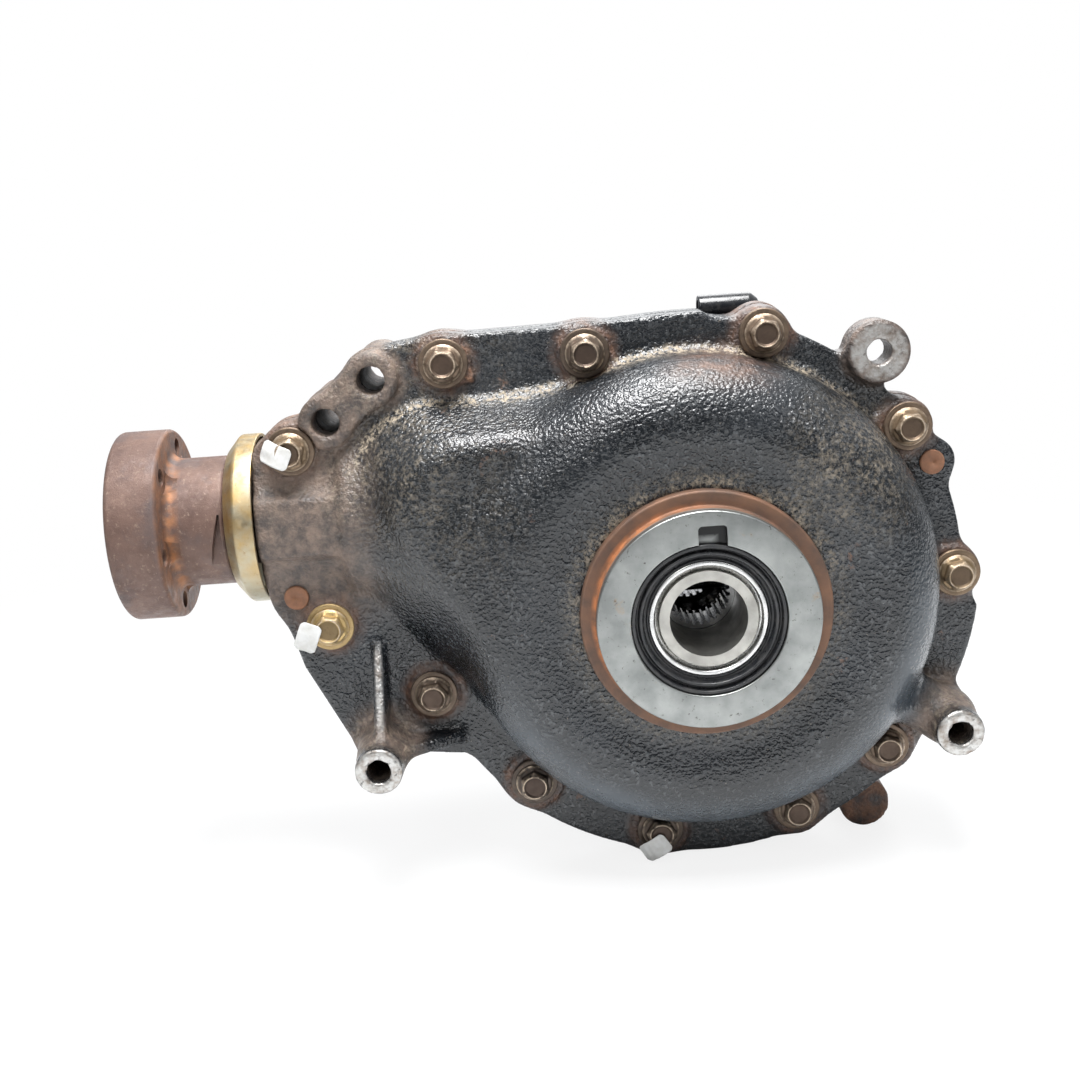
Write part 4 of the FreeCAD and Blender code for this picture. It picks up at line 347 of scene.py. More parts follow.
def housingField(x, y, z):
    # a bowl turned about the axle, with its plate, the pinion's barrel, lugs, ribs and bores
    s = housing
    radius = np.hypot(x, z)
    outline = flangeOutline(x, z)
    form = polygonField(y, radius, s["bowl"])
    plate = roundRod(outline, y, s["plateFront"], s["plateBack"], cover["plateEdge"])
    form = smoothUnion(form, plate, s["plateBlend"])
    form = raised(form, x, y, z, bolts, flange["lobe"], s["plateFront"], s["lobeBack"], 3.0)
    fromPinion = np.hypot(y - layout["pinionDepth"], z - layout["pinionUp"])
    stepRad, start, end, edge, blend = s["steps"][0]
    barrel = roundRod(fromPinion - stepRad, x, start, end, edge)
    for stepRad, start, end, edge, nextBlend in s["steps"][1:]:
        barrel = smoothUnion(barrel, roundRod(fromPinion - stepRad, x, start, end, edge), blend)
        blend = nextBlend
    form = smoothUnion(form, barrel, blend)
    form = raised(form, x, y, z, ears, s["earRad"], s["earFrom"], s["earEnd"], 5.0)
    for index in range(s["ribs"]):
        turn = math.radians(s["ribFirst"] + 360 / s["ribs"] * index)
        up = z * math.cos(turn) + x * math.sin(turn)
        side = x * math.cos(turn) - z * math.sin(turn)
        form = smoothUnion(form, fin(y, up, side, s["rib"], s["ribThick"]), 4.0)
    form = raised(form, x, y, z, [s["lug"]], s["lugRad"], s["lugFront"], s["lugEnd"], 6.0)
    form = raised(form, x, y, z, s["plugs"], s["plugBoss"], s["plugFrom"], s["plugSeat"], 5.0)
    out, deep = s["breather"]
    fromBreather = np.hypot(x - out, y - deep)
    boss = roundRod(fromBreather - s["breatherBoss"], z, s["breatherFrom"], s["breatherTo"], 1.0)
    form = smoothUnion(form, boss, 5.0)
    form = np.maximum(form, s["plateFront"] - y)
    room = np.minimum(polygonField(y, radius, s["room"]), pinionRoom(x, y, z))
    form = np.maximum(form, -room)
    form = np.maximum(form, np.where(y < s["sealFrom"], s["boreRad"], s["sealBore"]) - radius)
    for spots, radius in ((ears, cover["earHole"]), (s["plugs"], s["plugHole"]), (bolts, s["boltHole"])):
        form = drilled(form, x, z, spots, radius)
    return np.maximum(form, -np.maximum(fromBreather - s["breatherHole"], s["breatherHoleFrom"] - z))


# Meshing: one vertex for each grid cell that the surface crosses, then a quad for each crossed edge.

def meshFromField(name, field, low, high, step):
    axes = [np.arange(first - step, last + 2 * step, step) for first, last in zip(low, high)]
    grid = field(axes[0][:, None, None], axes[1][None, :, None], axes[2][None, None, :])
    inside = np.ascontiguousarray(grid) < 0
    count = np.zeros([size - 1 for size in inside.shape], np.int8)
    corners = [(i, j, k) for i in (0, 1) for j in (0, 1) for k in (0, 1)]
    nx, ny, nz = count.shape
    for i, j, k in corners:
        count += inside[i:i + nx, j:j + ny, k:k + nz]
    cells = np.argwhere((count > 0) & (count < 8))
    number = np.full(count.shape, -1, np.int64)
    number[tuple(cells.T)] = np.arange(len(cells))
    total = np.zeros((len(cells), 3))
    hits = np.zeros(len(cells))
    for corner in corners:
        for axis in range(3):
            if corner[axis]:
                continue
            start = cells + np.array(corner)
            end = start.copy()
            end[:, axis] += 1
            a, b = grid[tuple(start.T)], grid[tuple(end.T)]
            crossed = (a < 0) != (b < 0)
            share = np.where(crossed, a / np.where(crossed, a - b, 1), 0)
            spot = start.astype(float)
            spot[:, axis] += share
            total += spot * crossed[:, None]
            hits += crossed
    points = total / hits[:, None] * step + np.array([axis[0] for axis in axes])
    points = pulledOn(points, field, step)
    quads = []
    for axis in range(3):
        b, c = (axis + 1) % 3, (axis + 2) % 3
        near = [slice(None)] * 3
        far = [slice(None)] * 3
        near[axis], far[axis] = slice(0, -1), slice(1, None)
        change = inside[tuple(near)] != inside[tuple(far)]
        spots = np.argwhere(change)
        outward = inside[tuple(spots.T)]
        ring = []
        for stepB, stepC in ((-1, -1), (0, -1), (0, 0), (-1, 0)):
            cell = spots.copy()
            cell[:, b] += stepB
            cell[:, c] += stepC
            ring.append(number[tuple(cell.T)])
        ring = np.stack(ring, 1)
        quads.append(np.where(outward[:, None], ring, ring[:, ::-1]))
    return addMesh(name, points, np.concatenate(quads))


def pulledOn(points, field, step):
    # three Newton steps along the field's slope put every vertex on the surface itself
    h = 0.15
    for round_ in range(3):
        x, y, z = points.T
        value = field(x, y, z)
        slope = np.stack([
            field(x + h, y, z) - field(x - h, y, z),
            field(x, y + h, z) - field(x, y - h, z),
            field(x, y, z + h) - field(x, y, z - h),
        ], 1) / (2 * h)
        size = np.maximum((slope ** 2).sum(1), 0.2)
        move = -slope * (value / size)[:, None]
        length = np.maximum(np.linalg.norm(move, axis=1), 1e-9)
        points = points + move * np.minimum(1, 0.35 * step / length)[:, None]
    return points


def addMesh(name, points, faces):
    points, faces = np.asarray(points, float), np.asarray(faces)
    mesh = bpy.data.meshes.new(name)
    mesh.vertices.add(len(points))
    mesh.vertices.foreach_set("co", (points * mm).astype(np.float32).ravel())
    mesh.loops.add(faces.size)
    mesh.loops.foreach_set("vertex_index", faces.astype(np.int32).ravel())
    mesh.polygons.add(len(faces))
    mesh.polygons.foreach_set("loop_start", np.arange(len(faces), dtype=np.int32) * faces.shape[1])
    mesh.update(calc_edges=True)
    mesh.validate()
    mesh.polygons.foreach_set("use_smooth", np.ones(len(mesh.polygons), bool))
    piece = bpy.data.objects.new(name, mesh)
    bpy.context.scene.collection.objects.link(piece)
    return piece


def gridFaces(rows, columns, first=0, rowsJoin=True, columnsJoin=True):
    # quads between neighbours in a grid of vertices, which may join up in either direction
    row, column = np.meshgrid(np.arange(rows if rowsJoin else rows - 1),
                              np.arange(columns if columnsJoin else columns - 1), indexing="ij")
    here, below = row * columns, (row + 1) % rows * columns
    nextColumn = (column + 1) % columns
    quads = np.stack([here + column, here + nextColumn, below + nextColumn, below + column], -1)
    return first + quads.reshape(-1, 4)


def setAttribute(piece, name, values):
    attribute = piece.data.attributes.new(name, "FLOAT", "POINT")
    attribute.data.foreach_set("value", np.asarray(values, np.float32))


def placed(points, origin, towards, around):
    # local axes: along (towards), and two across it
    towards, around = np.array(towards, float), np.array(around, float)
    third = np.cross(towards, around)
    spots = np.array(origin) + points[..., :1] * towards
    return spots + points[..., 1:2] * around + points[..., 2:] * third


def turnedMesh(name, profile, line, sides):
    # a profile of (along, radius) carried round a circle about the line
    profile = np.array(profile, float)
    turn = np.arange(sides) * 2 * np.pi / sides
    along = np.repeat(profile[:, :1], sides, 1)
    points = np.stack([along, profile[:, 1:] * np.cos(turn), profile[:, 1:] * np.sin(turn)], -1)
    points = placed(points, *line).reshape(-1, 3)
    piece = addMesh(name, points, gridFaces(len(profile), sides))
    pointOutwards(piece)
    return piece


def pointOutwards(piece):
    # the signed volume of a closed mesh is positive when its faces point outwards
    mesh = piece.data
    mesh.calc_loop_triangles()
    corners = np.zeros(len(mesh.loop_triangles) * 3, np.int32)
    mesh.loop_triangles.foreach_get("vertices", corners)
    spots = np.zeros(len(mesh.vertices) * 3, np.float32)
    mesh.vertices.foreach_get("co", spots)
    a, b, c = spots.reshape(-1, 3)[corners.reshape(-1, 3)].transpose(1, 0, 2).astype(float)
    if (a * np.cross(b, c)).sum() < 0:
        mesh.flip_normals()


def filleted(corners, steps=5):
    # each corner is (along, radius, fillet): it becomes an arc tangent to both of its lines
    corners = np.array(corners, float)
    spots = []
    for index, (along, rad, fillet) in enumerate(corners):
        here = corners[index, :2]
        before, after = corners[index - 1, :2] - here, corners[(index + 1) % len(corners), :2] - here
        beforeLen, afterLen = np.linalg.norm(before), np.linalg.norm(after)
        before, after = before / beforeLen, after / afterLen
        half = math.acos(np.clip(before @ after, -1, 1)) / 2
        if fillet <= 0 or half < 0.02 or half > 1.55:
            spots.append(here)
            continue
        reach = min(fillet / math.tan(half), beforeLen * 0.49, afterLen * 0.49)
        radius = reach * math.tan(half)
        centre = here + (before + after) / np.linalg.norm(before + after) * radius / math.sin(half)
        first, last = here + before * reach - centre, here + after * reach - centre
        for step in range(steps + 1):
            mixed = first * (1 - step / steps) + last * step / steps
            spots.append(centre + mixed / np.linalg.norm(mixed) * radius)
    return spots


# Materials, all procedural on Object coordinates and on attributes that each mesh carries.

def link(tree, kind, **inputs):
    # a node whose inputs are given by name or by number, as values or as sockets to join
    node = tree.nodes.new(kind)
    for name, value in inputs.items():
        socket = node.inputs[int(name[1:])] if name[0] == "_" else node.inputs[name]
        if isinstance(value, bpy.types.NodeSocket):
            tree.links.new(value, socket)
        else:
            socket.default_value = value
    return node


def mapRange(tree, value, low, high, first=0.0, last=1.0):
    # the value carried from low..high to first..last, and held at its ends
    node = link(tree, "ShaderNodeMapRange", Value=value)
    for socket, number in zip(("From Min", "From Max", "To Min", "To Max"), (low, high, first, last)):
        node.inputs[socket].default_value = number
    return node


def mathsNode(tree, kind, first, second=0.5, clamp=False):
    # one sum; kinds that take a single value leave the second as it is
    node = link(tree, "ShaderNodeMath", _0=first, _1=second)
    node.operation = kind
    node.use_clamp = clamp
    return node.outputs["Value"]


class Paint:
    def __init__(self, name, roughness=0.5, metallic=0.0):
        self.material = bpy.data.materials.new(name)
        self.material.use_nodes = True
        self.tree = self.material.node_tree
        self.shader = self.tree.nodes["Principled BSDF"]
        self.shader.inputs["Roughness"].default_value = roughness
        self.shader.inputs["Metallic"].default_value = metallic
        self.place = self.tree.nodes.new("ShaderNodeTexCoord").outputs["Object"]

    def plug(self, value, socket):
        if isinstance(value, bpy.types.NodeSocket):
            self.tree.links.new(value, socket)
        elif value is not None:
            socket.default_value = (*value, 1) if isinstance(value, tuple) and len(value) == 3 \
                and socket.type == "RGBA" else value

    def noise(self, size, detail, roughness, low, high, first=0.0, last=1.0):
        # size is the pattern's grain in millimetres; the result runs from first at low to last at high
        node = link(self.tree, "ShaderNodeTexNoise", Vector=self.place, Scale=1 / (size * mm),
                    Detail=detail, Roughness=roughness)
        return self.fit(node.outputs["Fac"], low, high, first, last)

    def fit(self, value, low, high, first=0.0, last=1.0):
        return mapRange(self.tree, value, low, high, first, last).outputs["Result"]

    def maths(self, kind, first, second=0.5, clamp=False):
        return mathsNode(self.tree, kind, first, second, clamp)

    def times(self, first, second, clamp=False):
        return self.maths("MULTIPLY", first, second, clamp)

    def greatest(self, first, *others):
        for other in others:
            first = self.maths("MAXIMUM", first, other)
        return first

    def attribute(self, name):
        node = self.tree.nodes.new("ShaderNodeAttribute")
        node.attribute_name = name
        return node.outputs["Fac"]

    def axes(self):
        node = self.tree.nodes.new("ShaderNodeSeparateXYZ")
        self.plug(self.place, node.inputs[0])
        return node.outputs["X"], node.outputs["Y"], node.outputs["Z"]

    def mix(self, share, first, second):
        node = self.tree.nodes.new("ShaderNodeMix")
        node.data_type = "RGBA"
        self.plug(share, node.inputs["Factor"])
        self.plug(first, node.inputs[6])
        self.plug(second, node.inputs[7])
        return node.outputs[2]

    def blend(self, share, first, second):
        # a number that runs from first to second
        node = self.tree.nodes.new("ShaderNodeMix")
        self.plug(share, node.inputs["Factor"])
        self.plug(first, node.inputs[2])
        self.plug(second, node.inputs[3])
        return node.outputs[0]

    def bump(self, height, distance, strength=1.0):
        # distance in millimetres; a second bump lies over the first
        node = self.tree.nodes.new("ShaderNodeBump")
        node.inputs["Strength"].default_value = strength
        node.inputs["Distance"].default_value = distance * mm
        self.plug(height, node.inputs["Height"])
        previous = self.shader.inputs["Normal"]
        if previous.is_linked:
            self.tree.links.new(previous.links[0].from_socket, node.inputs["Normal"])
        self.plug(node.outputs["Normal"], previous)

    def finish(self, color=None, roughness=None, metallic=None):
        self.plug(color, self.shader.inputs["Base Color"])
        self.plug(roughness, self.shader.inputs["Roughness"])
        self.plug(metallic, self.shader.inputs["Metallic"])
        return self.material


casting = {
    # glint colours the crinkle's peaks as a painted glint; sheen is a painted reflection of the pale floor
    "black": (0.0055, 0.0068, 0.0085), "worn": (0.013, 0.0155, 0.019), "glint": (0.085, 0.09, 0.095),
    "sheen": (0.05, 0.064, 0.078), "film": (0.165, 0.118, 0.092), "filmDark": (0.055, 0.042, 0.037),
    "dust": (0.33, 0.275, 0.205), "rust": (0.21, 0.105, 0.06), "darkRust": (0.07, 0.04, 0.03),
    "bare": (0.47, 0.465, 0.45), "stain": (0.17, 0.13, 0.10), "grain": 1.75, "gloss": 0.56,
}


def paintedCasting():
    # near-black crinkle paint, with painted glints on its peaks; attributes say where it is brown, rusty,
    # dusty or gone, and where its crinkle is smoothed under a painted sheen that stands for the floor's
    # reflection
    s = casting
    p = Paint("paintedCasting")
    p.shader.inputs["Specular IOR Level"].default_value = s["gloss"]
    crinkle = p.noise(s["grain"], 1.6, 0.5, 0.36, 0.66)
    color = p.mix(p.noise(34, 5, 0.6, 0.42, 0.68), s["black"], s["worn"])
    # painted glints: the highest peaks of the crinkle are lightened in patches, as light catching them
    # would show
    glints = p.times(p.fit(crinkle, 0.66, 1.0), p.noise(24, 4, 0.6, 0.35, 0.65, 0.12, 0.6))
    color = p.mix(glints, color, s["glint"])
    # painted reflection: the sheen attribute lightens the dome's lower right to blue-grey, where the pale
    # floor would reflect
    sheen = p.times(p.attribute("sheen"), p.noise(30, 4, 0.6, 0.3, 0.6, 0.3, 1.0), True)
    color = p.mix(p.times(sheen, 0.75), color, s["sheen"])
    filmTone = p.mix(p.noise(7, 6, 0.7, 0.38, 0.62), s["filmDark"], s["film"])
    film = p.times(p.attribute("film"), p.noise(12, 5, 0.65, 0.25, 0.6, 0.45, 1.1), True)
    color = p.mix(film, color, filmTone)
    rustTone = p.mix(p.noise(8, 5, 0.65, 0.35, 0.65), s["rust"], s["darkRust"])
    rust = p.times(p.attribute("rust"), p.noise(6, 6, 0.7, 0.3, 0.6, 0.2, 1.15), True)
    rust = p.greatest(p.noise(20, 6, 0.75, 0.65, 0.7, 0.0, 0.55), rust)
    color = p.mix(rust, color, rustTone)
    dust = p.times(p.attribute("dust"), p.noise(13, 5, 0.65, 0.36, 0.6, 0.15, 1.1))
    dust = p.times(dust, p.noise(2.4, 5, 0.8, 0.46, 0.62), True)
    dust = p.greatest(dust, p.noise(1.5, 3, 0.7, 0.66, 0.74, 0.0, 0.3))
    color = p.mix(dust, color, s["dust"])
    bare = p.times(p.attribute("bare"), p.noise(3, 5, 0.7, 0.3, 0.42), True)
    color = p.mix(bare, color, p.mix(p.noise(4, 4, 0.6, 0.42, 0.75), s["bare"], s["stain"]))
    dull = p.greatest(dust, rust, p.times(film, 0.7))
    roughness = p.blend(dull, p.noise(18, 3, 0.5, 0.3, 0.7, 0.17, 0.27), 0.8)
    p.bump(p.times(crinkle, p.fit(p.greatest(sheen, bare), 0, 1, 1.0, 0.35)), 0.3)
    p.bump(p.noise(8, 4, 0.5, 0.2, 0.8), 0.5, 0.4)
    return p.finish(color, p.blend(bare, roughness, 0.4), p.times(bare, 0.85))


def rustyForging():
    # brown rust with grey patches, and orange in the fillet behind the disc
    p = Paint("rustyForging", 0.6, 0.25)
    x, y, z = p.axes()
    tone = p.mix(p.noise(18, 5, 0.65, 0.35, 0.65), (0.088, 0.05, 0.04), (0.145, 0.088, 0.068))
    tone = p.mix(p.noise(2.6, 6, 0.8, 0.56, 0.66, 0.0, 0.6), tone, (0.27, 0.2, 0.15))
    tone = p.mix(p.noise(26, 5, 0.6, 0.5, 0.66, 0.0, 0.6), tone, (0.07, 0.062, 0.066))
    fillet = p.times(p.fit(x, -0.2545, -0.2515), p.fit(x, -0.2455, -0.2505), True)
    fillet = p.times(fillet, p.noise(8, 4, 0.6, 0.38, 0.62, 0.0, 0.8))
    tone = p.mix(fillet, tone, (0.36, 0.15, 0.055))
    p.bump(p.noise(0.9, 4, 0.7, 0.2, 0.8), 0.14, 0.7)
    p.bump(p.noise(6, 4, 0.6, 0.3, 0.7), 0.2, 0.5)
    return p.finish(tone, p.noise(5, 4, 0.6, 0.3, 0.7, 0.42, 0.72))


def zincPlate():
    # yellow passivation that is greyer on the lower half
    p = Paint("zincPlate", 0.42, 0.85)
    x, y, z = p.axes()
    tone = p.mix(p.noise(11, 5, 0.6, 0.35, 0.65), (0.38, 0.26, 0.11), (0.36, 0.32, 0.23))
    tone = p.mix(p.fit(z, 0.035, 0.005), tone, (0.32, 0.30, 0.23))
    tone = p.mix(p.noise(2.4, 6, 0.8, 0.57, 0.66, 0.0, 0.7), tone, (0.24, 0.15, 0.07))
    p.bump(p.noise(1.4, 4, 0.6, 0.3, 0.7), 0.06, 0.5)
    return p.finish(tone, p.noise(4, 4, 0.6, 0.3, 0.7, 0.3, 0.58))


def boltPlate():
    # tone runs from dark (0) by brown (0.5) to gold (1); edge is 1 on worn edges and -1 in the dish
    p = Paint("boltPlate", 0.45, 0.7)
    tone = p.attribute("tone")
    brown = p.mix(p.noise(4, 5, 0.7, 0.35, 0.65), (0.11, 0.08, 0.058), (0.19, 0.135, 0.093))
    color = p.mix(p.fit(tone, 0.0, 0.5), (0.045, 0.04, 0.038), brown)
    color = p.mix(p.fit(tone, 0.5, 1.0), color, (0.50, 0.36, 0.16))
    color = p.mix(p.noise(1.6, 6, 0.8, 0.54, 0.64, 0.0, 0.6), color, (0.12, 0.07, 0.05))
    color = p.mix(p.fit(p.attribute("edge"), 0.0, -1.0, 0.0, 0.72), color, (0.05, 0.032, 0.024))
    worn = p.times(p.attribute("edge"), p.noise(2, 4, 0.6, 0.35, 0.55), True)
    color = p.mix(worn, color, (0.46, 0.37, 0.28))
    p.bump(p.noise(0.7, 3, 0.6, 0.2, 0.8), 0.05, 0.6)
    return p.finish(color, p.noise(3, 4, 0.6, 0.3, 0.7, 0.32, 0.6))


def pilotSteel():
    # bright turned face inside the pilot's edge, brown rust on the shoulder behind it
    p = Paint("pilotSteel", 0.4, 0.9)
    x, y, z = p.axes()
    radius = p.maths("SQRT", p.maths("ADD", p.times(x, x), p.times(z, z)))
    silver = p.mix(p.noise(17, 5, 0.6, 0.35, 0.65), (0.30, 0.31, 0.30), (0.20, 0.21, 0.205))
    silver = p.mix(p.noise(3.4, 5, 0.8, 0.60, 0.66), silver, (0.05, 0.045, 0.04))
    silver = p.mix(p.noise(15, 5, 0.7, 0.62, 0.74, 0.0, 0.7), silver, (0.30, 0.2, 0.12))
    rust = p.mix(p.noise(12, 5, 0.6, 0.35, 0.65), (0.17, 0.088, 0.052), (0.09, 0.055, 0.04))
    step = p.times(p.fit(radius, 0.0535, 0.0518), p.fit(x, 0.015, -0.035), True)
    rust = p.mix(p.times(step, p.noise(9, 4, 0.6, 0.35, 0.6)), rust, (0.40, 0.155, 0.06))
    shoulder = p.greatest(p.fit(radius, 0.0513, 0.0519), p.fit(y, 0.0035, 0.0065))
    shoulder = p.times(shoulder, p.fit(radius, 0.049, 0.050), True)
    # the notch is black in its shade, above and to the right, and grey on its floor
    deep = p.times(p.fit(y, 0.0004, 0.0008), p.fit(radius, 0.0475, 0.0465), True)
    shade = p.greatest(p.fit(z, 0.037, 0.0395), p.fit(x, 0.0025, 0.006), p.fit(y, 0.0036, 0.0032))
    color = p.mix(p.times(deep, shade), p.mix(shoulder, silver, rust), (0.006, 0.006, 0.006))
    # turning marks: one ring for each 0.7 mm of radius
    p.bump(p.maths("SINE", p.times(radius, 9000.0)), 0.012, 0.35)
    p.bump(p.noise(1.2, 4, 0.6, 0.3, 0.7), 0.03, 0.5)
    roughness = p.blend(shoulder, p.noise(9, 4, 0.6, 0.3, 0.7, 0.3, 0.46), 0.62)
    return p.finish(color, roughness, p.blend(p.greatest(shoulder, deep), 0.9, 0.3))


def plainSteel(name, color, dirt, roughness=0.32, metallic=0.95, grain=2.0):
    # one tone with darker clouds and specks of dirt
    p = Paint(name, roughness, metallic)
    tone = p.mix(p.noise(12, 4, 0.6, 0.35, 0.7), color, tuple(value * 0.7 for value in color))
    tone = p.mix(p.noise(grain, 6, 0.8, 0.6, 0.68, 0.0, 0.7), tone, dirt)
    p.bump(p.noise(grain * 0.6, 3, 0.6, 0.3, 0.7), 0.03, 0.4)
    return p.finish(tone, p.noise(6, 3, 0.5, 0.3, 0.7, roughness * 0.8, roughness * 1.3))


def blackRubber():
    # black with grey clouds and pale specks
    p = Paint("blackRubber", 0.4, 0.0)
    tone = p.mix(p.noise(6, 5, 0.7, 0.45, 0.7), (0.012, 0.013, 0.015), (0.035, 0.034, 0.034))
    tone = p.mix(p.noise(1.6, 6, 0.85, 0.62, 0.7, 0.0, 0.6), tone, (0.16, 0.14, 0.12))
    p.bump(p.noise(1.1, 3, 0.6, 0.3, 0.7), 0.08, 0.5)
    return p.finish(tone, p.noise(3, 3, 0.6, 0.3, 0.7, 0.22, 0.5))


def blackPlastic():
    # smooth black with faint clouds
    p = Paint("blackPlastic", 0.22, 0.0)
    tone = p.mix(p.noise(5, 4, 0.6, 0.5, 0.75), (0.008, 0.009, 0.011), (0.03, 0.03, 0.03))
    p.bump(p.noise(1.5, 3, 0.5, 0.3, 0.7), 0.04, 0.5)
    return p.finish(tone, p.noise(8, 3, 0.5, 0.3, 0.7, 0.16, 0.34))


def paperTab():
    # white sheet with grey clouds
    p = Paint("paperTab", 0.5, 0.0)
    tone = p.mix(p.noise(5, 4, 0.6, 0.4, 0.75), (0.62, 0.62, 0.61), (0.5, 0.49, 0.46))
    p.bump(p.noise(3, 3, 0.5, 0.3, 0.7), 0.05, 0.4)
    return p.finish(tone)


finishes = {
    "painted_casting": paintedCasting(),
    "raw_casting": plainSteel("turnedHub", (0.42, 0.41, 0.38), (0.10, 0.08, 0.06), 0.36, 0.9),
    "rusted_forging": rustyForging(),
    "zinc_plate": zincPlate(),
    "bolt_steel": boltPlate(),
    "machined_steel": plainSteel("machinedSteel", (0.62, 0.62, 0.61), (0.12, 0.1, 0.09), 0.26),
    "pressed_steel": plainSteel("pressedSteel", (0.45, 0.45, 0.45), (0.15, 0.13, 0.11), 0.36),
    "gear_steel": plainSteel("gearSteel", (0.50, 0.50, 0.51), (0.05, 0.045, 0.04), 0.22),
    "bronze": plainSteel("bronze", (0.6, 0.4, 0.19), (0.2, 0.12, 0.06), 0.34),
    "seal_washer": plainSteel("sealWasher", (0.7, 0.7, 0.7), (0.3, 0.3, 0.3), 0.4),
    "seal_rubber": blackRubber(),
    "black_plastic": blackPlastic(),
}
slotOf = {entry["node"]: entry["material_slot"] for entry in frame["record"]["subparts"]}
for name, piece in frame["nodes"].items():
    piece.data.materials.clear()
    piece.data.materials.append(finishes[slotOf[name]])
print("finishes made:", len(finishes))


def dress(piece, body, slot, replaced=(), material=None):
    piece.data.materials.clear()
    piece.data.materials.append(material or finishes[slot])
    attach(piece, body)
    if replaced:
        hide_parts(*replaced)
    return piece


def spotsOf(piece):
    spots = np.zeros(len(piece.data.vertices) * 3, np.float32)
    piece.data.vertices.foreach_get("co", spots)
    return spots.reshape(-1, 3).T.astype(float) / mm


def ramp(value, low, high):
    share = np.clip((value - low) / (high - low), 0, 1)
    return share * share * (3 - 2 * share)


always = (-1, 0)
wear = {
    # patches: attribute, strength, place, the radii where it ends and where it is full,
    # and the depths where it starts and where it is full
    "both": [("film", 1.0, spot, (19, 13), always) for spot in ears]
    + [("rust", 0.55, spot, (19, 12), (50, 54)) for spot in bolts]
    + [("film", 0.7, earC[::2], (20, 14), always), ("rust", 0.9, (-107.2, 114.7), (15, 11), (55.4, 54.6)),
       ("dust", 0.42, (70, 62), (46, 12), always), ("dust", 0.3, (-40, -8), (30, 10), always)],
    "front": [("film", 0.8, spot, (26, 14), (18, 30)) for spot in posts]
    + [("bare", 1.0, spot, (11.9, 11.2), (19.6, 18.8)) for spot in posts]
    + [("dust", 0.5, spot, (22, 12), (19, 22)) for spot in posts]
    + [("bare", 0.7, earC[::2], (13.4, 12.6), (51.4, 50.6))],
    "back": [("rust", 0.85, housing["lug"], (18, 13), (68, 74))],
    # bands: attribute, strength, and the measures that limit it, each with its values at none and full
    "bands": (
        ("film", 1.0, (("left", 142, 172), ("up", -14, 10))),
        ("rust", 0.5, (("crown", 34, 6), ("depth", 16, 30))),
        ("dust", 0.34, (("left", 92, 128), ("left", 200, 168), ("up", 18, 66))),
        ("dust", 0.13, (("left", 60, 100), ("up", -10, 50))),
        ("dust", 1.6, (("foot", 2.6, 0.6), ("up", 40, 80), ("depth", 44, 52), ("left", -100, -60))),
        # painted sheen: a blue-grey reflection of the floor on the dome's lower right, where the crinkle is
        # also smoothed
        ("sheen", 1.0, (("radius", 88, 104), ("radius", 122, 114), ("sheenTurn", 96, 62))),
    ),
    "ribEdge": ("bare", 0.6, (("rib", 2.4, 1.0), ("ribRise", 12, 20), ("ribRise", 54, 46))),
    "pilotDust": (71, 57), "pilotDepth": (70, 40), "pilotUp": (-30, 40), "pilotShare": (0.35, 0.45),
    "crown": (12, 106, 1.8), "sheenCentreTurn": -75, "footDepth": 52.0,
}


def weather(piece, front):
    # every attribute of a vertex is the strongest of the patches and bands that reach it
    s = wear
    x, y, z = spotsOf(piece)
    radius, turn = np.hypot(x, z), np.degrees(np.arctan2(z, x))
    out, up, flat = s["crown"]
    measures = {
        "left": -x, "depth": y, "up": z, "radius": radius,
        # a flat oval on the dome's crown, and the turn from the dome's lower right, where the painted sheen
        # lies
        "crown": np.hypot(x - out, (z - up) * flat), "sheenTurn": np.abs(turn - s["sheenCentreTurn"]),
        # the line where the dome meets the plate, and the bright edge of the left post's rib
        "foot": np.abs(domeField(x, np.full(len(x), s["footDepth"]), z) - 1.0),
        "rib": np.abs(x - postLeft[0] - 1), "ribRise": z - postLeft[2],
    }
    found = {name: np.zeros(len(x)) for name in ("film", "rust", "dust", "sheen", "bare")}

    def add(name, values):
        found[name] = np.maximum(found[name], values)

    patches = s["both"] + s["front" if front else "back"]
    for name, strength, (out, up), radii, depths in patches:
        add(name, strength * ramp(np.hypot(x - out, z - up), *radii) * ramp(y, *depths))
    for name, strength, limits in s["bands"] + ((s["ribEdge"],) if front else ()):
        parts = [ramp(measures[which], none, full) for which, none, full in limits]
        add(name, strength * np.prod(parts, 0))
    share, more = s["pilotShare"]
    pilotDust = ramp(radius, *s["pilotDust"]) * (share + more * ramp(z, *s["pilotUp"]))
    add("dust", pilotDust * ramp(y, *s["pilotDepth"]))
    for name, values in found.items():
        setAttribute(piece, name, values)


gridStep = 1.68
coverSkin = meshFromField("coverCasting", coverField, (-209, 12, -141), (142, 68, 136), gridStep)
weather(coverSkin, True)
dress(coverSkin, "casing", "painted_casting", ("cover",))
print("cover skin:", len(coverSkin.data.polygons), "faces")
housingSkin = meshFromField("housingCasting", housingField, (-209, 68, -142), (142, 176, 136),
                            gridStep * 1.09)
weather(housingSkin, False)
dress(housingSkin, "casing", "painted_casting", ("housing",))
print("housing skin:", len(housingSkin.data.polygons), "faces")


pilot = {
    "rad": 51.0, "bore": 35.5, "shoulder": 58.0, "step": 10.0, "back": 17.2,
    "notchLow": (-3.7, 30.0), "notchHigh": (9.3, 44.0), "notchDeep": 4.0, "notchCorner": 2.0,
}


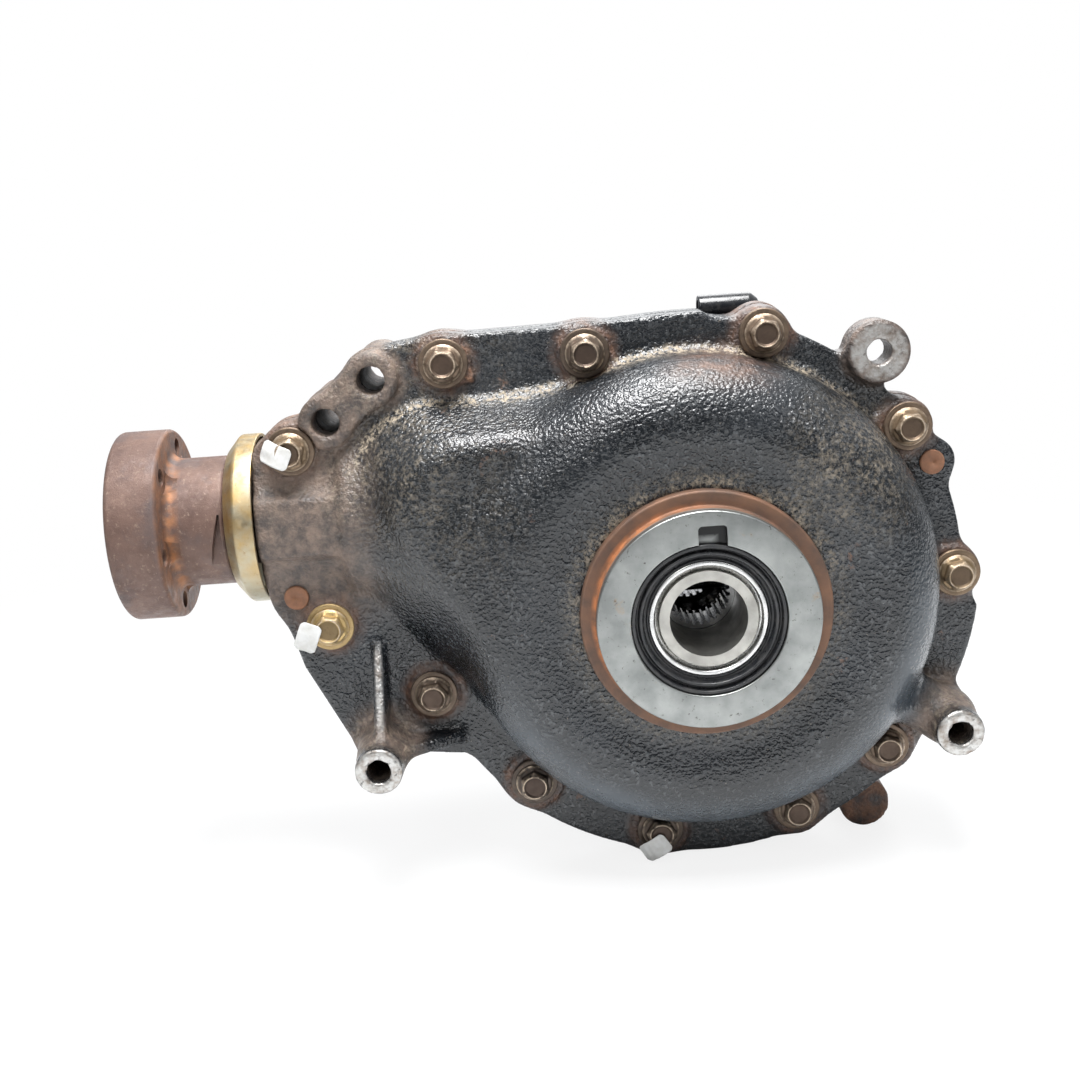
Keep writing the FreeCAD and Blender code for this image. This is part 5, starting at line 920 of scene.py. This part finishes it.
def notchTool():
    # a prism along Y whose outline is a rectangle with quarter circles at its corners
    s = pilot
    (x0, z0), (x1, z1), rad = s["notchLow"], s["notchHigh"], s["notchCorner"]
    sides = 32
    turn = np.arange(sides) * 2 * np.pi / sides + np.pi / sides
    x = np.where(np.cos(turn) > 0, x1 - rad, x0 + rad) + rad * np.cos(turn)
    z = np.where(np.sin(turn) > 0, z1 - rad, z0 + rad) + rad * np.sin(turn)
    depths = (-2.0, s["notchDeep"])
    rows = [np.stack([x, np.full(sides, depth), z], 1) for depth in depths]
    caps = [np.array([[x.mean(), depth, z.mean()]]) for depth in depths]
    side = np.arange(sides)
    nextSide = (side + 1) % sides
    faces = [
        np.stack([side, nextSide, nextSide + sides], 1),
        np.stack([side, nextSide + sides, side + sides], 1),
        np.stack([nextSide, side, np.full(sides, 2 * sides)], 1),
        np.stack([side + sides, nextSide + sides, np.full(sides, 2 * sides + 1)], 1),
    ]
    tool = addMesh("notchTool", np.concatenate(rows + caps), np.concatenate(faces))
    pointOutwards(tool)
    return tool


def cutWith(piece, tool):
    cutter = piece.modifiers.new("cut", "BOOLEAN")
    cutter.operation = "DIFFERENCE"
    cutter.solver = "EXACT"
    cutter.object = tool
    keepResult(piece)
    bpy.data.objects.remove(tool)


def keepResult(piece):
    graph = bpy.context.evaluated_depsgraph_get()
    result = bpy.data.meshes.new_from_object(piece.evaluated_get(graph))
    piece.modifiers.clear()
    piece.data = result


def smoothByAngle(piece, degrees=35.0):
    # sharp edges stay crisp: faces that meet at more than the angle are split in shading
    mesh = piece.data
    mesh.polygons.foreach_set("use_smooth", np.ones(len(mesh.polygons), bool))
    mesh.set_sharp_from_angle(angle=math.radians(degrees))


def makePilot():
    # a stepped ring turned about the axle, with a notch cut into its face
    s = pilot
    ring = turnedMesh("pilotRing", filleted([
        (0, s["bore"], 0.7), (0, s["rad"], 0.8), (s["step"], s["rad"], 0.9),
        (s["step"], s["shoulder"], 1.2), (s["back"], s["shoulder"], 0), (s["back"], s["bore"], 0)]),
        axle, 192)
    cutWith(ring, notchTool())
    smoothByAngle(ring)
    return dress(ring, "casing", "machined_steel", (), pilotSteel())


makePilot()

seal = {"outer": 35.3, "lip": 27.35, "mouth": 1.2}


def makeSeal():
    # crimped case, two rubber ridges with a groove between them, and the lip
    s = seal
    ring = turnedMesh("outputSeal", filleted([
        (12.5, s["outer"], 0), (s["mouth"], s["outer"], 0.5), (s["mouth"], 33.6, 0.4), (4.2, 33.2, 0.5),
        (4.4, 32.2, 0.5), (2.0, 31.6, 0.9), (2.2, 30.3, 0.9), (5.4, 29.6, 0.6), (5.2, 28.4, 0.5),
        (3.4, s["lip"] + 0.1, 0.4), (8.0, s["lip"], 0), (12.5, 31.0, 0)]),
        axle, 128)
    return dress(ring, "casing", "seal_rubber", ("front_output_seal",))


makeSeal()


def makeSleeve():
    # bright rolled lip in front, with a dark gap between it and the hub
    ring = turnedMesh("wearSleeve", filleted([
        (4.0, 27.1, 0.8), (4.0, 25.0, 0.6), (6.5, 24.4, 0.4), (6.8, 22.6, 0), (13.0, 22.6, 0),
        (13.0, 27.1, 0)]),
        axle, 128)
    return dress(ring, "case", "machined_steel", ("front_wear_sleeve",))


makeSleeve()
print("pilot, seal and sleeve made")


bolt = {
    "flats": 13.0, "high": 7.5, "flangeRad": 9.3, "flangeHigh": 1.5, "dishRad": 5.5, "dish": 0.8,
    "washerRad": 11.7, "washerThick": 2.0, "washerBore": 4.7, "sides": 72,
    "tones": (0.55, 0.95, 0.35, 0.12, 0.2, 0.4, 0.45, 0.6, 0.55, 0.5, 0.3, 0.5),
    "spin": (12, 40, 22, 0, 33, 8, 51, 17, 28, 44, 5, 37),  # degrees
}


def hexRadius(turn, flats, corner):
    # distance to a hexagon's side, held back at its corners by a circle
    fold = (turn + np.pi / 6) % (np.pi / 3) - np.pi / 6
    return np.minimum(flats / 2 / np.cos(fold), corner)


def boltSurface(spin):
    # rows run from the dished top down the hexagon and out over the flange
    s = bolt
    turn = np.arange(s["sides"]) * 2 * np.pi / s["sides"]
    hexed = hexRadius(turn + math.radians(spin), s["flats"], s["flats"] * 0.565)
    top = s["high"]
    rows = [
        (0.05, top - s["dish"], 0, -1), (s["dishRad"] * 0.8, top - s["dish"], 0, -1),
        (s["dishRad"] * 0.94, top - s["dish"] * 0.3, 0, -0.6), (s["dishRad"] * 1.0, top, 0, 1),
        (s["dishRad"] * 1.06, top, 0, 1), (s["flats"] * 0.485, top - 0.7, 0, 0.3),
        (0, top - 1.7, 1.0, 0.5), (0, top - 3.2, 1.0, 0), (0, s["flangeHigh"] + 1.9, 1.0, 0),
        (0, s["flangeHigh"] + 1.2, 1.04, 0), (s["flats"] * 0.62, s["flangeHigh"] + 0.75, 0, 0),
        (s["flangeRad"] - 0.8, s["flangeHigh"], 0, 0.3),
        (s["flangeRad"] - 0.1, s["flangeHigh"] - 0.5, 0, 0.9), (s["flangeRad"], 0.5, 0, 0.5),
        (s["flangeRad"] - 0.2, 0.02, 0, 0), (4.0, 0.02, 0, 0), (0.05, 0.02, 0, 0),
    ]
    rad = np.array([[row[0]] for row in rows]) + np.array([[row[2]] for row in rows]) * hexed
    high = np.repeat(np.array([[row[1]] for row in rows]), s["sides"], 1)
    edge = np.repeat(np.array([row[3] for row in rows]), s["sides"])
    return np.stack([rad * np.cos(turn), -high, rad * np.sin(turn)], -1), edge


def washerSurface():
    # a flat ring with an eased outer edge
    s = bolt
    thick, bore, rad = s["washerThick"], s["washerBore"], s["washerRad"]
    corners = [(0.02, bore, 0), (0.02, rad, 0.7), (thick, rad, 0.5), (thick, bore, 0.4)]
    profile = np.array(filleted(corners, 3))
    turn = np.arange(s["sides"]) * 2 * np.pi / s["sides"]
    high = np.repeat(thick - profile[:, :1], s["sides"], 1)
    return np.stack([profile[:, 1:] * np.cos(turn), -high, profile[:, 1:] * np.sin(turn)], -1)


def makeBolts():
    # all heads in one mesh and all washers in another
    s = bolt
    heads, washers = [], []
    headFaces, washerFaces, edges, tones, washerTones = [], [], [], [], []
    for (out, up), tone, spin in zip(bolts, s["tones"], s["spin"]):
        surface, edge = boltSurface(spin)
        rows = len(surface)
        first = sum(len(part) for part in heads)
        heads.append(surface.reshape(-1, 3) + (out, layout["padFront"] - s["washerThick"], up))
        headFaces.append(gridFaces(rows, s["sides"], first, rowsJoin=False))
        edges.append(edge)
        tones.append(np.full(rows * s["sides"], tone))
        washer = washerSurface()
        first = sum(len(part) for part in washers)
        washers.append(washer.reshape(-1, 3) + (out, layout["padFront"], up))
        washerFaces.append(gridFaces(len(washer), s["sides"], first))
        washerTones.append(np.full(len(washer) * s["sides"], tone * 0.8 + 0.05))
    head = addMesh("boltHeads", np.concatenate(heads), np.concatenate(headFaces))
    pointOutwards(head)
    setAttribute(head, "tone", np.concatenate(tones))
    setAttribute(head, "edge", np.concatenate(edges))
    smoothByAngle(head, 32)
    dress(head, "casing", "bolt_steel", ("cover_bolts",))
    washer = addMesh("boltWashers", np.concatenate(washers), np.concatenate(washerFaces))
    pointOutwards(washer)
    setAttribute(washer, "tone", np.concatenate(washerTones))
    setAttribute(washer, "edge", np.zeros(len(washer.data.vertices)))
    dress(washer, "casing", "bolt_steel", ("cover_bolt_washers",))


makeBolts()

dowel = {"rad": 6.0, "front": 55.2, "back": 74.0}


def makeDowels():
    # two round pins with an eased front edge, in one material
    s = dowel
    rust = Paint("rustedPin", 0.7, 0.2)
    tone = rust.mix(rust.noise(5, 5, 0.7, 0.35, 0.65), (0.26, 0.12, 0.065), (0.17, 0.085, 0.05))
    rust.bump(rust.noise(1.2, 4, 0.6, 0.3, 0.7), 0.08, 0.6)
    material = rust.finish(tone)
    profile = filleted([(s["front"], 0.05, 0), (s["front"], s["rad"], 0.6),
                        (s["back"], s["rad"], 0.6), (s["back"], 0.05, 0)])
    pins = [turnedMesh("dowelPin%d" % index, profile, ((out, 0, up), *axle[1:]), 48)
            for index, (out, up) in enumerate(layout["dowels"], 1)]
    for pin in pins:
        dress(pin, "casing", "machined_steel", (), material)
    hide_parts("dowel_pins")


makeDowels()
print("bolts and dowels made")


inputFlange = {
    "hub": 32.0, "disc": 47.0, "discFrom": 253.0, "discTo": 278.0, "start": 189.0, "journal": 21.0,
    "step": 212.0, "seat": 23.0, "hubFrom": 224.0, "register": 24.0, "registerDeep": 3.0, "recess": 20.0,
    "floor": 246.0, "bore": 13.2, "holes": 6, "holeRad": 4.25, "holeCircle": 38.5, "firstHole": 13.0,
    "scallop": 8.0, "slotFrom": 226.5, "slotWide": 8.0, "slotDeep": 4.2, "slotUp": (-22.0, 9.0),
}


def rodTool(name, radius, start, end, depth, up, sides=40):
    # a plain cutter along X, from start to end, with its end faces closed by a point at each centre
    return turnedMesh(name, [(start, 0.001), (start, radius), (end, radius), (end, 0.001)],
                      ((0, depth, up), *pinionLine[1:]), sides)


def makeInputFlange():
    # hub and disc in one turning, then the holes with a scallop behind each, and the step
    s = inputFlange
    body = turnedMesh("inputFlange", filleted([
        (s["start"], s["bore"], 0), (s["start"], s["journal"], 0.8), (s["step"], s["journal"], 0.5),
        (s["step"], s["seat"], 0.5), (s["hubFrom"], s["seat"], 0.4), (s["hubFrom"], s["hub"], 3.0),
        (s["discFrom"], s["hub"], 4.5), (s["discFrom"], s["disc"], 2.2), (s["discTo"], s["disc"], 2.6),
        (s["discTo"], s["register"], 0.6), (s["discTo"] - s["registerDeep"], s["register"], 0.3),
        (s["discTo"] - s["registerDeep"], s["recess"], 0.6), (s["floor"], s["recess"], 1.0),
        (s["floor"], s["bore"], 0)], 6),
        pinionLine, 160)
    for index in range(s["holes"]):
        turn = math.radians(s["firstHole"] + 360 / s["holes"] * index)
        depth = layout["pinionDepth"] + s["holeCircle"] * math.cos(turn)
        up = layout["pinionUp"] + s["holeCircle"] * math.sin(turn)
        cutWith(body, rodTool("hole", s["holeRad"], s["discFrom"] - 8, s["discTo"] + 4, depth, up))
        cutWith(body, rodTool("scallop", s["scallop"], s["discFrom"] - 6, s["discFrom"] + 0.02, depth, up))
    cutWith(body, wedgeTool())
    smoothByAngle(body, 30)
    return dress(body, "pinion", "rusted_forging", ("pinion_flange",))


def wedgeTool():
    # a milled step in the hub's near side: a wedge whose floor rises towards the flange
    s = inputFlange
    near = layout["pinionDepth"] - s["hub"]
    up = layout["pinionUp"]
    first, last = -s["slotFrom"], -s["slotFrom"] - s["slotWide"]
    low, high = up + s["slotUp"][0], up + s["slotUp"][1]
    outer, inner = near - 3, near + s["slotDeep"]
    corners = np.array([
        (first, outer, low), (last - 1, outer, low), (last, inner, low), (first, inner, low),
        (first, outer, high), (last + 7, outer, high), (last + 7, inner, high), (first, inner, high),
    ])
    faces = [(0, 1, 2, 3), (7, 6, 5, 4), (0, 4, 5, 1), (1, 5, 6, 2), (2, 6, 7, 3), (3, 7, 4, 0)]
    tool = addMesh("wedge", corners, np.array(faces))
    pointOutwards(tool)
    return tool


makeInputFlange()

deflector = {"from": 208.8, "to": 224.0, "rad": 42.0, "wall": 1.8, "seat": 23.2, "slope": 6.0}


def makeDeflector():
    # a pressed cup: straight rim, sloped shoulder, flat back
    s = deflector
    cup = turnedMesh("dustCup", filleted([
        (s["from"], s["rad"] - s["wall"], 0.4), (s["from"], s["rad"], 0.6),
        (s["to"] - s["slope"], s["rad"], 2.5), (s["to"], s["rad"] - 7.0, 2.0),
        (s["to"], s["seat"], 0), (s["to"] - s["wall"], s["seat"], 0),
        (s["to"] - s["wall"], s["rad"] - 7.6, 1.0),
        (s["to"] - s["slope"] - 0.6, s["rad"] - s["wall"], 1.2)], 5),
        pinionLine, 160)
    return dress(cup, "pinion", "zinc_plate", ("dust_deflector",))


makeDeflector()
print("input flange and dust cup made")


breather = {
    "out": 20.0, "depth": 91.0, "high": 131.8, "rad": 6.4, "bore": 4.4, "from": 11.0, "to": 40.6,
    "stem": 5.0, "stemFrom": 101.8, "stemTo": 131.0, "collar": 8.0, "collarFrom": 119.8, "collarTo": 122.6,
}


def makeBreather():
    # the open tube with a rounded mouth, and its stem down into the boss
    s = breather
    tube = turnedMesh("breatherTube", filleted([
        (s["from"] + 6, 0.05, 0), (s["from"] + 6, s["bore"], 1.0), (s["from"], s["bore"], 0.6),
        (s["from"], s["rad"], 1.0), (s["to"] - 4, s["rad"], 3.0), (s["to"], s["rad"] * 0.45, 2.0),
        (s["to"], 0.05, 0)], 5),
        ((0, s["depth"], s["high"]), (1, 0, 0), (0, 1, 0)), 48)
    stem = turnedMesh("breatherStem", filleted([
        (s["stemFrom"], 0.05, 0), (s["stemFrom"], s["stem"], 0), (s["collarFrom"], s["stem"], 0),
        (s["collarFrom"], s["collar"], 0.6), (s["collarTo"], s["collar"], 0.8),
        (s["collarTo"], s["stem"] + 0.6, 0.8), (s["stemTo"], s["stem"] + 0.6, 0), (s["stemTo"], 0.05, 0)]),
        ((s["out"], s["depth"], 0), (0, 0, 1), (1, 0, 0)), 48)
    dress(tube, "casing", "black_plastic", ("breather_elbow",))
    dress(stem, "casing", "black_plastic")


makeBreather()

tab = {
    "wide": 10.8, "thick": 0.22, "flat": 5.0, "material": paperTab(),
    # near end on the bolt's head, heading in degrees, length, drop behind the head's face
    "places": (((-188.2, 44.6, 78.2), 156.0, 14.5, 6.5), ((-186.0, 44.6, -1.6), -113.6, 15.5, 4.0),
               ((-20.4, 44.6, -127.4), -147.0, 14.6, 3.0)),
}


def makeTabs():
    # a thin sheet that lies flat on the head, then bends back and ripples towards its free end;
    # its outline is a rectangle whose corners are drawn in
    s = tab
    for index, (near, heading, length, drop) in enumerate(s["places"], 1):
        u, v = np.meshgrid(np.linspace(0, 1, 31), np.linspace(-1, 1, 17), indexing="ij")
        end = np.abs(2 * u - 1)
        side = np.abs(v)
        along = (0.5 + (u - 0.5) * (1 - 0.1 * side ** 8)) * length
        across = v * s["wide"] / 2 * (1 - 0.16 * end ** 14)
        free = np.clip((along - s["flat"]) / (length - s["flat"]), 0, 1)
        back = drop * free ** 1.6 - 0.5 * free * np.sin(v * 4 + index * 2)
        back = back + 0.25 * free * np.sin(along * 1.9)
        turn = math.radians(heading)
        x = along * math.cos(turn) - across * math.sin(turn)
        z = along * math.sin(turn) + across * math.cos(turn)
        points = np.stack([x, back, z], -1).reshape(-1, 3) + near
        faces = gridFaces(*u.shape, rowsJoin=False, columnsJoin=False)
        sheet = addMesh("blankTab%d" % index, points, faces)
        solid = sheet.modifiers.new("thickness", "SOLIDIFY")
        solid.thickness = s["thick"] * mm
        solid.offset = 0
        keepResult(sheet)
        dress(sheet, "casing", "black_plastic", (), s["material"])


makeTabs()
print("breather and tabs made")


studio = {
    "floorDrop": 0.2, "floorSize": 6000, "position": (-72.0, -598.4, 189.3), "lens": 46.47, "sensor": 36.0,
    "right": (0.99756, -0.01394, -0.06848), "up": (0.06983, 0.23693, 0.96901),
    "floorTone": (0.86, 0.87, 0.88), "floorWhite": (0.84, 1.0), "floorFade": (250.0, 900.0),
    "worldLevel": 0.42, "frontLevel": 0.045, "rise": (-0.15, 0.8), "lean": 0.42,
    "sky": (0.94, 0.97, 1.0, 1),
}


def makeCamera():
    # the camera that was solved from the photo: its place, its right and its up
    s = studio
    right, up = Vector(s["right"]).normalized(), Vector(s["up"]).normalized()
    back = right.cross(up)
    camera = bpy.data.objects.new("camera", bpy.data.cameras.new("camera"))
    camera.data.lens = s["lens"]
    camera.data.sensor_width = s["sensor"]
    camera.data.sensor_fit = "HORIZONTAL"
    camera.data.clip_end = 20
    turn = Matrix((right, up, back)).transposed().to_4x4()
    camera.matrix_world = Matrix.Translation(Vector(s["position"]) * mm) @ turn
    bpy.context.scene.collection.objects.link(camera)
    bpy.context.scene.camera = camera


def makeFloor():
    # a pale floor that shows white to the camera far out, and keeps a soft shadow near the part
    s = studio
    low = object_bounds()[0].z / mm - s["floorDrop"]
    size = s["floorSize"]
    corners = [(-size, -size, low), (size, -size, low), (size, size, low), (-size, size, low)]
    floor = addMesh("floor", corners, np.array([(0, 1, 2, 3)]))
    material = bpy.data.materials.new("paleFloor")
    material.use_nodes = True
    tree = material.node_tree
    diffuse = tree.nodes["Principled BSDF"]
    diffuse.inputs["Base Color"].default_value = (*s["floorTone"], 1)
    diffuse.inputs["Roughness"].default_value = 0.9
    place = link(tree, "ShaderNodeTexCoord").outputs["Object"]
    reach = link(tree, "ShaderNodeVectorMath", _0=place)
    reach.operation = "LENGTH"
    near, far = [value * mm for value in s["floorFade"]]
    fade = mapRange(tree, reach.outputs["Value"], near, far, *s["floorWhite"])
    camera = link(tree, "ShaderNodeLightPath").outputs["Is Camera Ray"]
    seen = mathsNode(tree, "MULTIPLY", camera, fade.outputs["Result"])
    glow = link(tree, "ShaderNodeEmission", Color=(1, 1, 1, 1))
    mix = link(tree, "ShaderNodeMixShader", _0=seen, _1=diffuse.outputs[0], _2=glow.outputs[0])
    tree.links.new(mix.outputs[0], tree.nodes["Material Output"].inputs["Surface"])
    floor.data.materials.append(material)


def makeWorld():
    # white to the camera; the light itself comes from above and behind, and little from the camera's side
    s = studio
    world = bpy.data.worlds.new("studio")
    bpy.context.scene.world = world
    world.use_nodes = True
    tree = world.node_tree
    direction = link(tree, "ShaderNodeTexCoord").outputs["Generated"]
    axes = link(tree, "ShaderNodeSeparateXYZ", _0=direction)
    back = mathsNode(tree, "MULTIPLY", axes.outputs["Y"], s["lean"])
    rise = mathsNode(tree, "ADD", axes.outputs["Z"], back)
    level = mapRange(tree, rise, *s["rise"], s["frontLevel"], 1.0)
    level.interpolation_type = "SMOOTHSTEP"
    strength = mathsNode(tree, "MULTIPLY", level.outputs["Result"], s["worldLevel"])
    light = tree.nodes["Background"]
    light.inputs["Color"].default_value = s["sky"]
    tree.links.new(strength, light.inputs["Strength"])
    glossy = link(tree, "ShaderNodeBackground", Color=s["sky"], Strength=level.outputs["Result"])
    shown = link(tree, "ShaderNodeBackground", Color=(1, 1, 1, 1))
    path = link(tree, "ShaderNodeLightPath").outputs
    mirror = mathsNode(tree, "MAXIMUM", path["Is Glossy Ray"], path["Is Transmission Ray"])
    first = link(tree, "ShaderNodeMixShader", _0=mirror, _1=light.outputs[0], _2=glossy.outputs[0])
    last = link(tree, "ShaderNodeMixShader", _0=path["Is Camera Ray"], _1=first.outputs[0],
                _2=shown.outputs[0])
    tree.links.new(last.outputs[0], tree.nodes["World Output"].inputs["Surface"])


lamps = (  # place and aim in mm, size in mm, power in watts
    ((-60, -140, 1050), (-20, 40, 0), 600, 30),
    ((-560, -900, 900), (-60, 40, 0), 500, 4.6),
    ((700, -800, 700), (0, 40, 0), 400, 2.0),
    ((100, 900, 700), (0, 80, 40), 700, 6),
)


def makeLamps():
    # square lamps, each turned from its place towards its aim
    for index, (place, aim, size, power) in enumerate(lamps):
        lamp = bpy.data.lights.new("lamp%d" % index, "AREA")
        lamp.size = size * mm
        lamp.energy = power
        piece = bpy.data.objects.new("lamp%d" % index, lamp)
        turn = (Vector(aim) - Vector(place)).to_track_quat("-Z", "Y").to_matrix().to_4x4()
        piece.matrix_world = Matrix.Translation(Vector(place) * mm) @ turn
        bpy.context.scene.collection.objects.link(piece)


makeCamera()
makeFloor()
makeWorld()
makeLamps()
bpy.context.scene.view_settings.view_transform = "Standard"
print("studio made")
